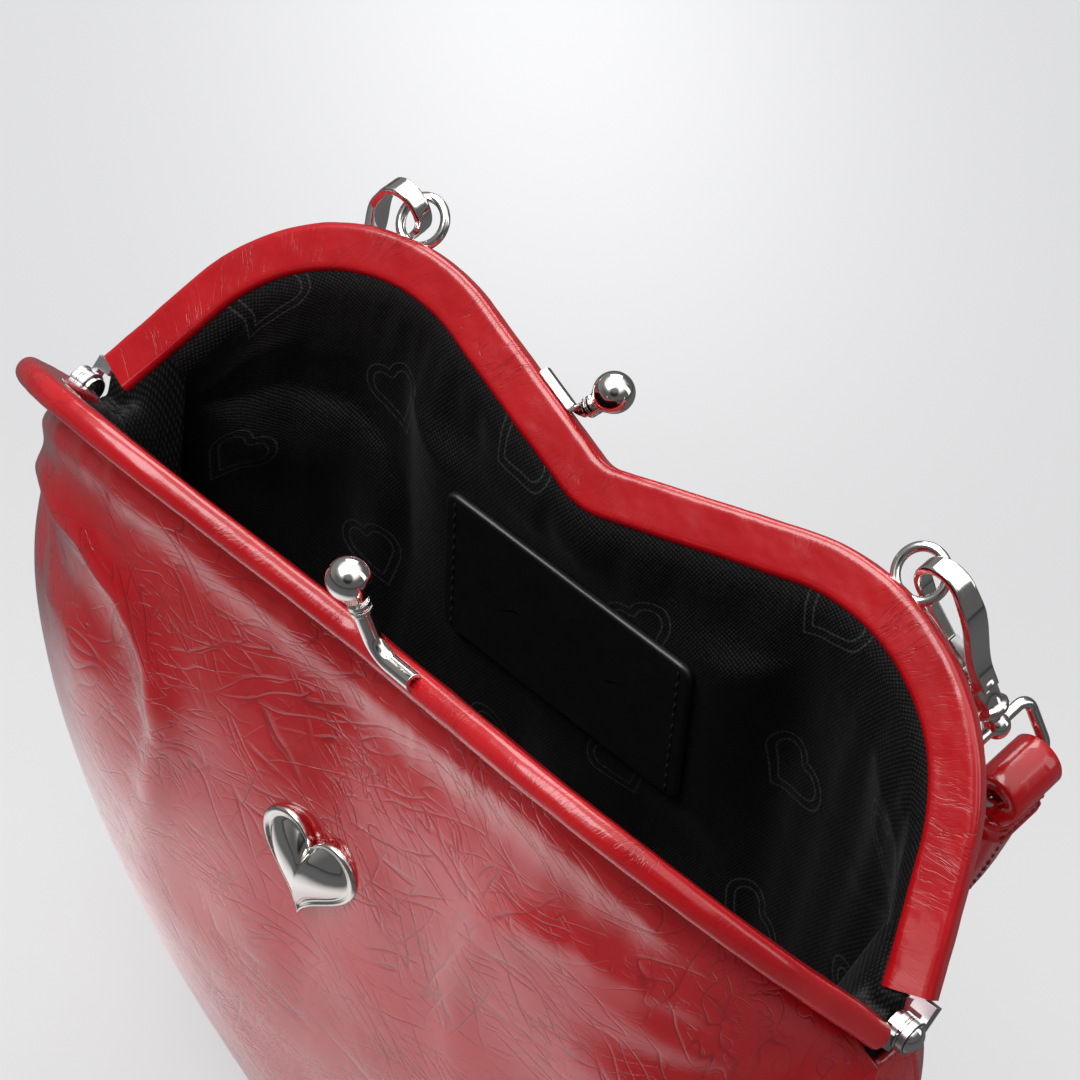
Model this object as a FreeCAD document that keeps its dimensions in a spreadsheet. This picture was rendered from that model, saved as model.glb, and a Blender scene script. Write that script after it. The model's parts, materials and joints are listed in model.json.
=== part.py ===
# Heart shaped kiss-lock purse, shown open. Lengths are millimetres and angles are degrees.
# X runs along the hinge line, the front faces -Y and Z is up; the origin is midway between the hinges.

import FreeCAD, Part
import math
import os

vec = FreeCAD.Vector

sizes = {
    # Heart outline of both frames, along the middle of the bar
    "hinge_span": 188.0,
    "open_angle": 40.0,
    "dip_height": 38.2,
    "dip_angle": 16.4,
    "dip_round": 12.0,
    "lobe_radius": 38.0,
    "arm_angle": 70.2,
    "arm_end_inset": 3.6,
    "arm_end_height": 4.8,
    # Covered bar
    "cover_width": 8.6,
    "cover_depth": 4.6,
    "cover_round": 1.6,
    "core_width": 6.2,
    "core_depth": 2.4,
    "glue_gap": 0.1,
    "closing_gap": 0.4,
    # Hinge
    "core_stub": 0.6,
    "ear_radius": 3.0,
    "ear_thickness": 1.2,
    "ear_gap": 0.6,
    "neck_clear": 0.45,
    "neck_height": 2.2,
    "neck_inset": 2.2,
    "rivet_radius": 1.2,
    "rivet_play": 0.06,
    "rivet_head_radius": 2.5,
    "rivet_dome_height": 1.5,
    "rivet_tail_height": 0.9,
    "rivet_seat": 0.1,
    "washer_thickness": 0.4,
    # Kiss-lock clasp
    "ball_radius": 3.5,
    "back_ball_rise": 10.7,
    "front_ball_rise": 14.0,
    "back_ball_side": -5.0,
    "front_ball_side": 2.2,
    "back_ball_lean": 3.5,
    "front_ball_lean": 6.4,
    "ball_taper_length": 4.4,
    "ball_taper_radius": 1.4,
    "stem_radius": 1.1,
    "stem_gap": 0.02,
    "stem_inset": 1.5,
    "foot_reach": 7.2,
    "foot_length": 9.5,
    "foot_radius": 1.5,
    "foot_thickness": 0.5,
    "collar_radius": 1.8,
    "collar_thickness": 0.7,
    "collar_gap": 0.4,
    # Strap rings on the back frame
    "ring_lobe_angle": 9.3,
    "ring_seat": 0.55,
    "ring_radius": 4.3,
    "ring_wire_radius": 0.85,
    # Snap hooks
    "hook_rise": 0.3,
    "hook_settle": 0.2,
    "hook_splay_angle": 31.0,
    "strap_lean_angle": 10.0,
    "hook_mouth_radius": 3.6,
    "hook_strip": 1.4,
    "hook_width": 3.2,
    "hook_tip_drop": 3.0,
    "hook_shoulder_drop": 6.0,
    "hook_shoulder_bend": 8.0,
    "barrel_drop": 17.5,
    "barrel_length": 6.0,
    "barrel_radius": 2.7,
    "barrel_lip_radius": 3.2,
    "barrel_lip_height": 1.6,
    "post_radius": 1.1,
    "post_play": 0.08,
    "post_depth": 4.0,
    "knob_radius": 2.3,
    "knob_gap": 0.3,
    "gate_thickness": 1.2,
    "gate_width": 1.8,
    "gate_gap": 0.4,
    "gate_boss_radius": 1.1,
    "gate_pin_radius": 0.5,
    "gate_pin_play": 0.05,
    "gate_pin_rise": 1.5,
    "gate_pin_side": 2.2,
    "cheek_thickness": 0.6,
    "cheek_gap": 0.15,
    "spring_thickness": 0.3,
    "spring_gap": 0.3,
    # Strap and its eyes
    "eye_half_width": 7.8,
    "eye_height": 10.5,
    "eye_wire_radius": 1.0,
    "eye_corner": 2.4,
    "loop_radius": 4.4,
    "loop_play": 0.15,
    "strap_width": 10.6,
    "strap_depth": 4.6,
    "strap_round": 1.4,
    "strap_shoulder_inset": 2.9,
    "strap_shoulder_drop": 25.5,
    "strap_leg_inset": 18.0,
    "strap_leg_drop": 68.5,
    "strap_foot_inset": 50.0,
    "strap_foot_drop": 102.5,
    "keeper_drop": 5.2,
    "keeper_length": 5.4,
    "keeper_thickness": 1.0,
    "keeper_gap": 0.1,
    # Leather bag
    "side_inset": 1.0,
    "side_drop": 5.0,
    "hip_swell": 11.0,
    "hip_drop": 55.0,
    "toe_side": 17.0,
    "toe_drop": 107.0,
    "tip_drop": 113.0,
    "side_half_depth": 4.5,
    "base_half_depth": 22.0,
    "upper_bulge": 10.0,
    "lower_bulge": 13.0,
    "gusset_crown": 3.0,
    "leather": 1.2,
    "lining": 0.6,
    "lining_gap": 1.0,
    "seam_gap": 0.5,
    "frame_clear": 0.3,
    "panel_set_out": 1.2,
    # Label patch and badge
    "label_width": 56.0,
    "label_height": 34.0,
    "label_thickness": 1.4,
    "label_gap": 0.4,
    "label_drop": 14.0,
    "badge_width": 21.0,
    "badge_height": 19.0,
    "badge_depth": 2.4,
    "badge_round": 0.9,
    "badge_dip_round": 1.0,
    "badge_tip_round": 2.0,
    "badge_drop": 47.0,
    "badge_gap": 1.6,
    "badge_leg_radius": 0.8,
    "badge_leg_side": 4.0,
    "badge_leg_play": 0.1,
    "badge_plate_radius": 1.8,
    "badge_plate_thickness": 0.3,
    "badge_plate_gap": 0.05,
    "overrun": 2.0,
}

# Shares of a run, of a border's length and of the badge's width and height
bend_share = 0.45
full_depth_share = 0.7
gusset_end_share = 0.994
step_share = 0.0005
heart_shares = ((0.52, 0.52), (0.52, 1.0), (0.12, 1.04), (0.0, 0.72))

doc = FreeCAD.newDocument("Purse")
sheet = doc.addObject("Spreadsheet::Sheet", "Sizes")
for row, (name, number) in enumerate(sizes.items(), start=1):
    sheet.set(f"A{row}", name)
    sheet.set(f"B{row}", str(number))
    sheet.setAlias(f"B{row}", name)
doc.recompute()

nodes = []
hands = (1, -1)
hand_name = {1: "right", -1: "left"}
side_name = {1: "back", -1: "front"}


def size(name):
    return float(sheet.get(name))


def radians(name):
    return math.radians(size(name))


# Building blocks

def keep(item, label, place=None):
    item.Label = label
    if place is not None:
        item.Placement = place
    nodes.append(item)
    return item


def shaped(label, shape):
    item = doc.addObject("Part::Feature", label)
    item.Shape = shape
    return item


def primitive(kind, label, place, **bound):
    item = doc.addObject("Part::" + kind, label)
    for prop, expression in bound.items():
        item.setExpression(prop, expression)
    item.Placement = place
    return item


def fuse(label, pieces):
    item = doc.addObject("Part::MultiFuse", label)
    item.Shapes = pieces
    return item


def cut(label, base, tools):
    item = doc.addObject("Part::Cut", label)
    item.Base = base
    item.Tool = tools[0] if len(tools) == 1 else fuse(label + "_tools", tools)
    return item


def sketch_on(body, geometry):
    sketch = body.newObject("Sketcher::SketchObject", body.Name + "_sketch")
    plane = [f for f in body.Origin.OriginFeatures if f.Role == "XZ_Plane"][0]
    sketch.AttachmentSupport = (plane, [""])
    sketch.MapMode = "FlatFace"
    sketch.addGeometry(geometry, False)
    return sketch


# A flat outline in the XZ plane, padded equally to both sides of it
def padded_body(label, geometry, depth):
    body = doc.addObject("PartDesign::Body", label)
    pad = body.newObject("PartDesign::Pad", label + "_pad")
    pad.Profile = sketch_on(body, geometry)
    pad.SideType = "Symmetric"
    pad.setExpression("Length", depth)
    doc.recompute()
    return body, pad


def round_edges(body, pad, edges, radius):
    fillet = body.newObject("PartDesign::Fillet", body.Name + "_round")
    fillet.Base = (pad, edges)
    fillet.setExpression("Radius", radius)
    doc.recompute()


# A half outline, along X and out from X, closed and turned about X
def turned_body(label, outline, corners):
    body = doc.addObject("PartDesign::Body", label)
    lines = [Part.LineSegment(a, b) for a, b in zip(corners, corners[1:])]
    sketch = sketch_on(body, outline + lines)
    turn = body.newObject("PartDesign::Revolution", label + "_turn")
    turn.Profile = sketch
    turn.ReferenceAxis = (sketch, ["H_Axis"])
    turn.Angle = 360
    return body


# Straight runs joined by tangent arcs; a bend of None makes its arc as large as its runs allow
def rounded_runs(points, bends):
    runs = []
    start = points[0]
    for before, here, after, bend in zip(points, points[1:], points[2:], bends):
        back = (before - here).normalize()
        onward = (after - here).normalize()
        half_turn = (math.pi - back.getAngle(onward)) / 2
        shorter = min((before - here).Length, (after - here).Length)
        radius = bend if bend else bend_share * shorter / math.tan(half_turn)
        run = radius * math.tan(half_turn)
        inside = (back + onward).normalize() * (radius / math.cos(half_turn) - radius)
        if (here + back * run - start).Length > run * step_share:
            runs.append(Part.LineSegment(start, here + back * run))
        runs.append(Part.Arc(here + back * run, here + inside, here + onward * run))
        start = here + onward * run
    if (points[-1] - start).Length > run * step_share:
        runs.append(Part.LineSegment(start, points[-1]))
    return runs


def rounded_path(points, bends):
    return Part.Wire([run.toShape() for run in rounded_runs(points, bends)])


# A rectangle with rounded corners, about a centre
def round_rectangle(centre, across, up, width, depth, corner):
    wide = across * (width / 2)
    deep = up * (depth / 2)
    corners = [centre + wide + deep, centre - wide + deep, centre - wide - deep, centre + wide - deep]
    return rounded_path([centre + deep] + corners[1:] + [corners[0], centre + deep], [corner] * 4)


def swept(path, section, across=None):
    shell = Part.BRepOffsetAPI.MakePipeShell(path)
    if across:
        shell.setBiNormalMode(across)
    shell.add(section)
    shell.build()
    shell.makeSolid()
    return shell.shape()


def rod(points, radius, bends):
    section = Part.Wire(Part.Circle(points[0], points[1] - points[0], radius).toShape())
    return swept(rounded_path(points, bends), section)


def cylinder(radius, start, end):
    return Part.makeCylinder(radius, (end - start).Length, start, end - start)


# Heart outline of the bar, in the plane of a closed frame: side along X and height above the hinge line

half_span = size("hinge_span") / 2
dip_turn = radians("dip_angle")
arm_turn = radians("arm_angle")
rise = vec(math.cos(dip_turn), math.sin(dip_turn), 0)
fall = vec(math.cos(arm_turn), -math.sin(arm_turn), 0)
rise_out = vec(-rise.y, rise.x, 0)
fall_out = vec(-fall.y, fall.x, 0)
dip_point = vec(0, size("dip_height"), 0)
arm_end = vec(half_span - size("arm_end_inset"), size("arm_end_height"), 0)
across = arm_end - dip_point
corner_run = (across.x * fall.y - across.y * fall.x) / (rise.x * fall.y - rise.y * fall.x)
lobe_run = corner_run - size("lobe_radius") * math.tan((dip_turn + arm_turn) / 2)
lobe_centre = dip_point + rise * lobe_run - rise_out * size("lobe_radius")
lobe_top_out = (rise_out + fall_out).normalize()
dip_centre = dip_point + vec(0, size("dip_round") / math.cos(dip_turn), 0)


def mirrored(point):
    return vec(-point.x, point.y, point.z)


# The heart's lines and arcs, set out from the bar's middle, from the left arm to the right one
def bar_line(out, stub):
    lobe = size("lobe_radius") + out
    dip = size("dip_round") - out
    end = arm_end + fall_out * out + fall * stub
    lobe_end = lobe_centre + fall_out * lobe
    lobe_top = lobe_centre + lobe_top_out * lobe
    lobe_start = lobe_centre + rise_out * lobe
    dip_side = dip_centre - rise_out * dip
    dip_low = dip_centre - vec(0, dip, 0)
    return [
        Part.LineSegment(mirrored(end), mirrored(lobe_end)),
        Part.Arc(mirrored(lobe_end), mirrored(lobe_top), mirrored(lobe_start)),
        Part.LineSegment(mirrored(lobe_start), mirrored(dip_side)),
        Part.Arc(mirrored(dip_side), dip_low, dip_side),
        Part.LineSegment(dip_side, lobe_start),
        Part.Arc(lobe_start, lobe_top, lobe_end),
        Part.LineSegment(lobe_end, end),
    ]


def bar_outline(width, stub):
    outer = bar_line(width / 2, stub)
    inner = bar_line(-width / 2, stub)
    left_end = Part.LineSegment(outer[0].StartPoint, inner[0].StartPoint)
    right_end = Part.LineSegment(outer[-1].EndPoint, inner[-1].EndPoint)
    return outer + inner + [left_end, right_end]


# Frames: each is built closed, with its bar beside the closing plane, and then leans open

bar_mid = (size("closing_gap") + size("cover_depth")) / 2
along_x = FreeCAD.Rotation(vec(0, 1, 0), 90)
along_y = FreeCAD.Rotation(vec(1, 0, 0), -90)
lean = {side: FreeCAD.Rotation(vec(1, 0, 0), -side * size("open_angle")) for side in (1, -1)}
frame_place = {side: FreeCAD.Placement(vec(0, 0, 0), lean[side]) for side in (1, -1)}
ear_face = {1: half_span + size("ear_gap") / 2,
            -1: half_span - size("ear_gap") / 2 - size("ear_thickness")}
bore_radius = {1: "Sizes.rivet_radius", -1: "Sizes.rivet_radius + Sizes.rivet_play"}


def at(x, y, z, turn=FreeCAD.Rotation()):
    return FreeCAD.Placement(vec(x, y, z), turn)


# Steel bar with a flat ear at each end, bored for the hinge rivet
def frame_core(side):
    label = side_name[side] + "_frame_core"
    bar, _ = padded_body(label + "_bar", bar_outline(size("core_width"), size("core_stub")), "Sizes.core_depth")
    bar.Placement = at(0, side * bar_mid, 0)
    near_face = side * bar_mid - size("core_depth") / 2
    neck_low = size("ear_radius") + size("neck_clear")
    neck_start = half_span - size("neck_inset")
    ear_end = ear_face[side] + size("ear_thickness")
    pieces = [bar]
    bores = []
    for hand in hands:
        tag = f"{label}_{hand_name[hand]}"
        ear_low = ear_face[side] if hand > 0 else -ear_end
        neck = primitive("Box", tag + "_neck", at(neck_start if hand > 0 else -ear_end, near_face, neck_low),
                         Width="Sizes.core_depth", Height="Sizes.neck_height")
        neck.Length = ear_end - neck_start
        drop = primitive("Box", tag + "_drop", at(ear_low, near_face, 0), Length="Sizes.ear_thickness",
                         Width="Sizes.core_depth",
                         Height="Sizes.ear_radius + Sizes.neck_clear + Sizes.neck_height")
        ear = primitive("Cylinder", tag + "_ear", at(ear_low, 0, 0, along_x),
                        Radius="Sizes.ear_radius", Height="Sizes.ear_thickness")
        bore = primitive("Cylinder", tag + "_bore", at(ear_low - size("overrun"), 0, 0, along_x),
                         Radius=bore_radius[side], Height="Sizes.ear_thickness + 2 * Sizes.overrun")
        pieces += [neck, drop, ear]
        bores.append(bore)
    return keep(cut(label, fuse(label + "_blank", pieces), bores), label, frame_place[side])


# The edges that lie on the chosen faces of a pad
def face_edges(shape, faces):
    names = []
    for number, edge in enumerate(shape.Edges, start=1):
        if any(all(vertex.Point.y * face > 0 for vertex in edge.Vertexes) for face in faces):
            names.append(f"Edge{number}")
    return names


# Leather wrapped round the bar, with a tunnel for the steel and notches for what passes through it
def frame_cover(side, notches):
    label = side_name[side] + "_frame_cover"
    solid, pad = padded_body(label + "_solid", bar_outline(size("cover_width"), 0), "Sizes.cover_depth")
    round_edges(solid, pad, face_edges(pad.Shape, (1, -1)), "Sizes.cover_round")
    tunnel_width = size("core_width") + 2 * size("glue_gap")
    tunnel, _ = padded_body(label + "_tunnel", bar_outline(tunnel_width, size("overrun")),
                            "Sizes.core_depth + 2 * Sizes.glue_gap")
    for body in (solid, tunnel):
        body.Placement = at(0, side * bar_mid, 0)
    return keep(cut(label, solid, [tunnel] + notches), label, frame_place[side])


ring_reach = (size("lobe_radius") + size("core_width") / 2 + size("ring_radius") + size("ring_wire_radius")
              - size("ring_seat"))
ring_turn = radians("ring_lobe_angle")
ring_centre = lobe_centre + vec(math.sin(ring_turn), math.cos(ring_turn), 0) * ring_reach


def ring_wire(label, hand):
    place = at(hand * ring_centre.x, bar_mid, ring_centre.y, along_y)
    ring = primitive("Torus", label, place, Radius1="Sizes.ring_radius", Radius2="Sizes.ring_wire_radius")
    return ring


# Wire ring fixed on the outer edge of the back frame, seated on the steel bar
def strap_ring(hand, core):
    label = hand_name[hand] + "_ring"
    closed_core = shaped(label + "_seat", core.Shape.transformGeometry(frame_place[1].inverse().toMatrix()))
    return keep(cut(label, ring_wire(label + "_wire", hand), [closed_core]), label, frame_place[1])


ball_side = {1: size("back_ball_side"), -1: size("front_ball_side")}
ball_lean = {1: size("back_ball_lean"), -1: size("front_ball_lean")}
ball_rise = {1: size("back_ball_rise"), -1: size("front_ball_rise")}
collars_start = size("ball_taper_length")
collars_end = collars_start + 2 * size("collar_thickness") + size("collar_gap")


# Far end of the foot, bend and ball centre of a clasp, in the closed frame
def clasp_line(side):
    hand = math.copysign(1, ball_side[side])
    out = size("cover_width") / 2 + size("glue_gap")
    run = abs(ball_side[side]) + size("foot_reach")
    places = [dip_point + rise * r + rise_out * out for r in (run + size("foot_length"), run)]
    foot, bend = [vec(hand * p.x, side * bar_mid, p.y) for p in places]
    height = size("dip_height") + size("cover_width") / 2 + ball_rise[side]
    ball = vec(ball_side[side], side * (bar_mid - ball_lean[side]), height)
    return foot, bend, ball


# Half round channel that lies along the frame's outer edge and bends up to the collars, with a stem in it
def clasp_arm(side):
    label = side_name[side] + "_clasp_arm"
    foot, bend, ball = clasp_line(side)
    along = (bend - foot).normalize()
    up = vec(-along.z, 0, along.x) * math.copysign(1, along.x)
    beside = up.cross(along)
    down = (bend - ball).normalize()
    outer = size("foot_radius")
    inner = outer - size("foot_thickness")
    section = Part.Wire([
        Part.Arc(foot + beside * outer, foot + up * outer, foot - beside * outer).toShape(),
        Part.LineSegment(foot - beside * outer, foot - beside * inner).toShape(),
        Part.Arc(foot - beside * inner, foot + up * inner, foot + beside * inner).toShape(),
        Part.LineSegment(foot + beside * inner, foot + beside * outer).toShape(),
    ])
    path = rounded_path([foot, bend, ball + down * collars_end], [None])
    stem = cylinder(size("stem_radius"), ball, ball + down * (collars_end + size("stem_inset")))
    arm = swept(path, section).fuse(stem).removeSplitter()
    return keep(shaped(label, arm), label, frame_place[side])


# Pear shaped ball with two collars at its narrow end, bored for the stem
def clasp_ball(side):
    label = side_name[side] + "_clasp_ball"
    _, bend, ball = clasp_line(side)
    round_size = size("ball_radius")
    taper = vec(collars_start, size("ball_taper_radius"), 0)
    turn = math.asin(round_size / taper.Length) - math.atan2(taper.y, taper.x)
    pole = vec(-round_size, 0, 0)
    meet = vec(math.sin(turn), math.cos(turn), 0) * round_size
    middle = (pole + meet).normalize() * round_size
    bore = size("stem_radius") + size("stem_gap")
    groove = collars_start + size("collar_thickness")
    corners = [meet, taper, vec(collars_start, size("collar_radius"), 0), vec(groove, size("collar_radius"), 0),
               vec(groove, taper.y, 0), vec(groove + size("collar_gap"), taper.y, 0),
               vec(groove + size("collar_gap"), size("collar_radius"), 0),
               vec(collars_end, size("collar_radius"), 0), vec(collars_end, bore, 0),
               vec(-size("stem_gap"), bore, 0), vec(-size("stem_gap"), 0, 0), pole]
    body = turned_body(label, [Part.Arc(pole, middle, meet)], corners)
    place = FreeCAD.Placement(ball, FreeCAD.Rotation(vec(1, 0, 0), bend - ball))
    return keep(body, label, frame_place[side] * place)


# Domed rivet through both ears, headed inside
def hinge_rivet(hand):
    label = hand_name[hand] + "_hinge_rivet"
    head = size("rivet_head_radius")
    dome = size("rivet_dome_height")
    shaft = size("rivet_radius")
    inner_face = ear_face[-1] - size("rivet_seat")
    outer_face = ear_face[1] + size("ear_thickness") + size("rivet_seat")
    tail = inner_face - size("rivet_tail_height")
    crown = vec(outer_face + dome, 0, 0)
    dome_radius = (head ** 2 + dome ** 2) / (2 * dome)
    half_turn = math.asin(head / dome_radius) / 2
    shoulder = crown + vec(math.cos(half_turn) - 1, math.sin(half_turn), 0) * dome_radius
    rim = vec(outer_face, head, 0)
    corners = [crown, vec(tail, 0, 0), vec(tail, head, 0), vec(inner_face, head, 0), vec(inner_face, shaft, 0),
               vec(outer_face, shaft, 0), rim]
    turn = FreeCAD.Rotation(vec(0, 0, 1), 0 if hand > 0 else 180)
    return keep(turned_body(label, [Part.Arc(crown, shoulder, rim)], corners), label, at(0, 0, 0, turn))


def hinge_washers():
    rings = []
    for hand in hands:
        start = vec(hand * half_span - size("washer_thickness") / 2, 0, 0)
        end = start + vec(size("washer_thickness"), 0, 0)
        hole = cylinder(size("rivet_radius") + size("rivet_play"), start, end)
        rings.append(cylinder(size("ear_radius"), start, end).cut(hole))
    return keep(shaped("hinge_washers", Part.makeCompound(rings)), "hinge_washers")


cores = {side: frame_core(side) for side in (1, -1)}
doc.recompute()
for hand in hands:
    strap_ring(hand, cores[1])
    hinge_rivet(hand)
hinge_washers()
frame_cover(1, [ring_wire(f"{hand_name[hand]}_ring_notch", hand) for hand in hands])
frame_cover(-1, [])
for side in (1, -1):
    clasp_arm(side)
    clasp_ball(side)

# Strap: each hook is laid out below its ring, across and down from the middle of its mouth

hook_side = ring_centre.x + math.sqrt(size("ring_radius") ** 2 - size("hook_rise") ** 2)
hang = lean[1].multVec(vec(0, bar_mid, ring_centre.y + size("hook_rise")))
strap_place = FreeCAD.Placement(hang, FreeCAD.Rotation(vec(1, 0, 0), size("strap_lean_angle")))
splay = radians("hook_splay_angle")
hook_middle = size("hook_mouth_radius") + size("hook_strip") / 2
barrel_foot = size("barrel_drop") + size("barrel_length")
knob_drop = barrel_foot + size("knob_gap") + size("knob_radius")
eye_drop = knob_drop + size("eye_height")
gate_foot = size("barrel_drop") - size("gate_pin_rise")
through = vec(0, 1, 0)


# A point of a hook or an eye: across it and down it, with the splay of its hand, and back along Y
def hung(hand, beside, drop, back=0):
    drop += size("hook_settle")
    side = beside * math.cos(splay) + drop * math.sin(splay)
    down = drop * math.cos(splay) - beside * math.sin(splay)
    return vec(hand * (hook_side + side), back, -down)


def flat_strip(points, bends, thickness, width):
    along = (points[1] - points[0]).normalize()
    beside = along.cross(through) * (thickness / 2)
    deep = through * (width / 2)
    corners = [beside + deep, deep - beside, beside * -1 - deep, beside - deep, beside + deep]
    section = Part.makePolygon([points[0] + corner for corner in corners])
    return swept(rounded_path(points, bends), section, through)


# Flat strip over the ring and down into a barrel, with two cheeks for the gate's pin
def hook(hand):
    label = hand_name[hand] + "_hook"
    run = [hung(hand, -hook_middle, size("hook_tip_drop")), hung(hand, -hook_middle, -hook_middle),
           hung(hand, hook_middle, -hook_middle), hung(hand, hook_middle, size("hook_shoulder_drop")),
           hung(hand, size("barrel_radius") - size("hook_strip") / 2, size("barrel_drop")),
           hung(hand, size("barrel_radius") - size("hook_strip") / 2, barrel_foot - size("barrel_lip_height"))]
    bends = [hook_middle, hook_middle, size("hook_shoulder_bend"), size("hook_shoulder_bend")]
    strip = flat_strip(run, bends, size("hook_strip"), size("hook_width"))
    barrel = cylinder(size("barrel_radius"), hung(hand, 0, size("barrel_drop")), hung(hand, 0, barrel_foot))
    lip = cylinder(size("barrel_lip_radius"), hung(hand, 0, barrel_foot - size("barrel_lip_height")),
                   hung(hand, 0, barrel_foot))
    pieces = [barrel, lip]
    for face in (1, -1):
        near = face * (size("gate_width") / 2 + size("cheek_gap"))
        far = near + face * size("cheek_thickness")
        cheek = cylinder(size("gate_boss_radius"), hung(hand, -size("gate_pin_side"), gate_foot, near),
                         hung(hand, -size("gate_pin_side"), gate_foot, far))
        web = [hung(hand, -size("gate_pin_side") + reach, drop, near)
               for reach, drop in ((-size("gate_boss_radius"), gate_foot), (size("gate_boss_radius"), gate_foot),
                                   (size("gate_boss_radius"), barrel_foot - size("barrel_lip_height")),
                                   (-size("gate_pin_radius"), barrel_foot - size("barrel_lip_height")))]
        plate = Part.Face(Part.makePolygon(web + web[:1])).extrude(through * (face * size("cheek_thickness")))
        pieces += [cheek, plate]
    bore = cylinder(size("post_radius") + size("post_play"), hung(hand, 0, barrel_foot),
                    hung(hand, 0, barrel_foot - size("post_depth") - size("post_play")))
    solid = strip.multiFuse(pieces).cut(bore).cut(gate_pin_rod(hand)).removeSplitter()
    return keep(shaped(label, solid), label, strap_place)


def gate_pin_rod(hand):
    half = size("gate_width") / 2 + size("cheek_gap") + size("cheek_thickness")
    return cylinder(size("gate_pin_radius"), hung(hand, -size("gate_pin_side"), gate_foot, -half),
                    hung(hand, -size("gate_pin_side"), gate_foot, half))


def gate_pin(hand):
    label = hand_name[hand] + "_gate_pin"
    return keep(shaped(label, gate_pin_rod(hand)), label, strap_place)


# Lever from the pin up to the hook's tip
def gate(hand):
    label = hand_name[hand] + "_gate"
    half = through * (size("gate_width") / 2)
    pin = hung(hand, -size("gate_pin_side"), gate_foot)
    tip = hung(hand, -hook_middle, size("hook_tip_drop") + size("gate_gap"))
    along = (tip - pin).normalize()
    beside = along.cross(through) * (size("gate_thickness") / 2)
    corners = [pin + beside - half, pin - beside - half, tip - beside - half, tip + beside - half]
    lever = Part.Face(Part.makePolygon(corners + corners[:1])).extrude(half * 2)
    boss = cylinder(size("gate_boss_radius"), pin - half, pin + half)
    hole = cylinder(size("gate_pin_radius") + size("gate_pin_play"), pin - half, pin + half)
    return keep(shaped(label, lever.fuse(boss).cut(hole).removeSplitter()), label, strap_place)


# Leaf spring from the top of the barrel to the inside of the gate
def gate_spring(hand):
    label = hand_name[hand] + "_gate_spring"
    pin = hung(hand, -size("gate_pin_side"), gate_foot)
    tip = hung(hand, -hook_middle, size("hook_tip_drop") + size("gate_gap"))
    along = (tip - pin).normalize()
    beside = vec(hand * math.cos(splay), 0, math.sin(splay))
    stand_off = size("gate_thickness") / 2 + size("spring_gap") + size("spring_thickness") / 2
    rest = pin + along * ((tip - pin).Length / 2) + beside * stand_off
    knee = hung(hand, 0, gate_foot)
    foot = hung(hand, 0, size("barrel_drop"))
    leaf = flat_strip([foot, knee, rest], [size("gate_pin_rise") / 2], size("spring_thickness"),
                      size("gate_width"))
    return keep(shaped(label, leaf), label, strap_place)


# Wire eye with a swivel knob and a post that turns in the hook's barrel
def swivel_eye(hand):
    label = hand_name[hand] + "_swivel_eye"
    half = size("eye_half_width")
    corners = [hung(hand, 0, knob_drop, -half), hung(hand, 0, eye_drop, -half), hung(hand, 0, eye_drop, half),
               hung(hand, 0, knob_drop, half)]
    start = hung(hand, 0, knob_drop)
    wire = rod([start] + corners + [start], size("eye_wire_radius"), [size("eye_corner")] * 4)
    knob = Part.makeSphere(size("knob_radius"), start)
    post = cylinder(size("post_radius"), start, hung(hand, 0, barrel_foot - size("post_depth")))
    return keep(shaped(label, wire.multiFuse([knob, post]).removeSplitter()), label, strap_place)


strap_start = {hand: hung(hand, 0, eye_drop) for hand in hands}
strap_half = [strap_start[1] - vec(size("strap_shoulder_inset"), 0, size("strap_shoulder_drop")),
              strap_start[1] - vec(size("strap_leg_inset"), 0, size("strap_leg_drop")),
              strap_start[1] - vec(size("strap_foot_inset"), 0, size("strap_foot_drop"))]
strap_route = ([strap_start[1]] + strap_half + [mirrored(p) for p in reversed(strap_half)] + [strap_start[-1]])


def strap_section(hand, drop, more):
    ahead = (strap_half[0] - strap_start[1]).normalize()
    ahead = vec(hand * ahead.x, 0, ahead.z)
    return round_rectangle(strap_start[hand] + ahead * drop, through, ahead.cross(through),
                           size("strap_width") + 2 * more, size("strap_depth") + 2 * more,
                           size("strap_round") + more), ahead


# Soft strap with a loop round the eye at each end
def strap():
    path = rounded_path(strap_route, [None] * (len(strap_route) - 2))
    section, _ = strap_section(1, 0, 0)
    solid = swept(path, section, through)
    print(f"strap length {path.Length:.1f} mm")
    for hand in hands:
        half = through * (size("strap_width") / 2)
        loop = cylinder(size("loop_radius"), strap_start[hand] - half, strap_start[hand] + half)
        hole = cylinder(size("eye_wire_radius") + size("loop_play"), strap_start[hand] - half * 2,
                        strap_start[hand] + half * 2)
        solid = solid.fuse(loop).cut(hole)
    return keep(shaped("strap", solid.removeSplitter()), "strap", strap_place)


# Leather band round the strap, below its loop
def keeper(hand):
    label = hand_name[hand] + "_strap_keeper"
    outer, ahead = strap_section(hand, size("keeper_drop"), size("keeper_gap") + size("keeper_thickness"))
    inner, _ = strap_section(hand, size("keeper_drop"), size("keeper_gap"))
    band, hole = [Part.Face(wire).extrude(ahead * size("keeper_length")) for wire in (outer, inner)]
    return keep(shaped(label, band.cut(hole)), label, strap_place)


strap()
for hand in hands:
    hook(hand)
    gate_pin(hand)
    gate(hand)
    gate_spring(hand)
    swivel_eye(hand)
    keeper(hand)

# Bag: panels run from the frames down to a heart shaped border, with a gusset between their borders

border = [(half_span - size("side_inset"), size("side_drop")), (half_span + size("hip_swell"), size("hip_drop")),
          (size("toe_side"), size("toe_drop")), (0.0, size("tip_drop"))]
thread_set_out = size("cover_width") / 2 + size("frame_clear")
top_edges = [g.toShape() for g in bar_line(-thread_set_out, 0)]
top_length = sum(edge.Length for edge in top_edges)


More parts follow.
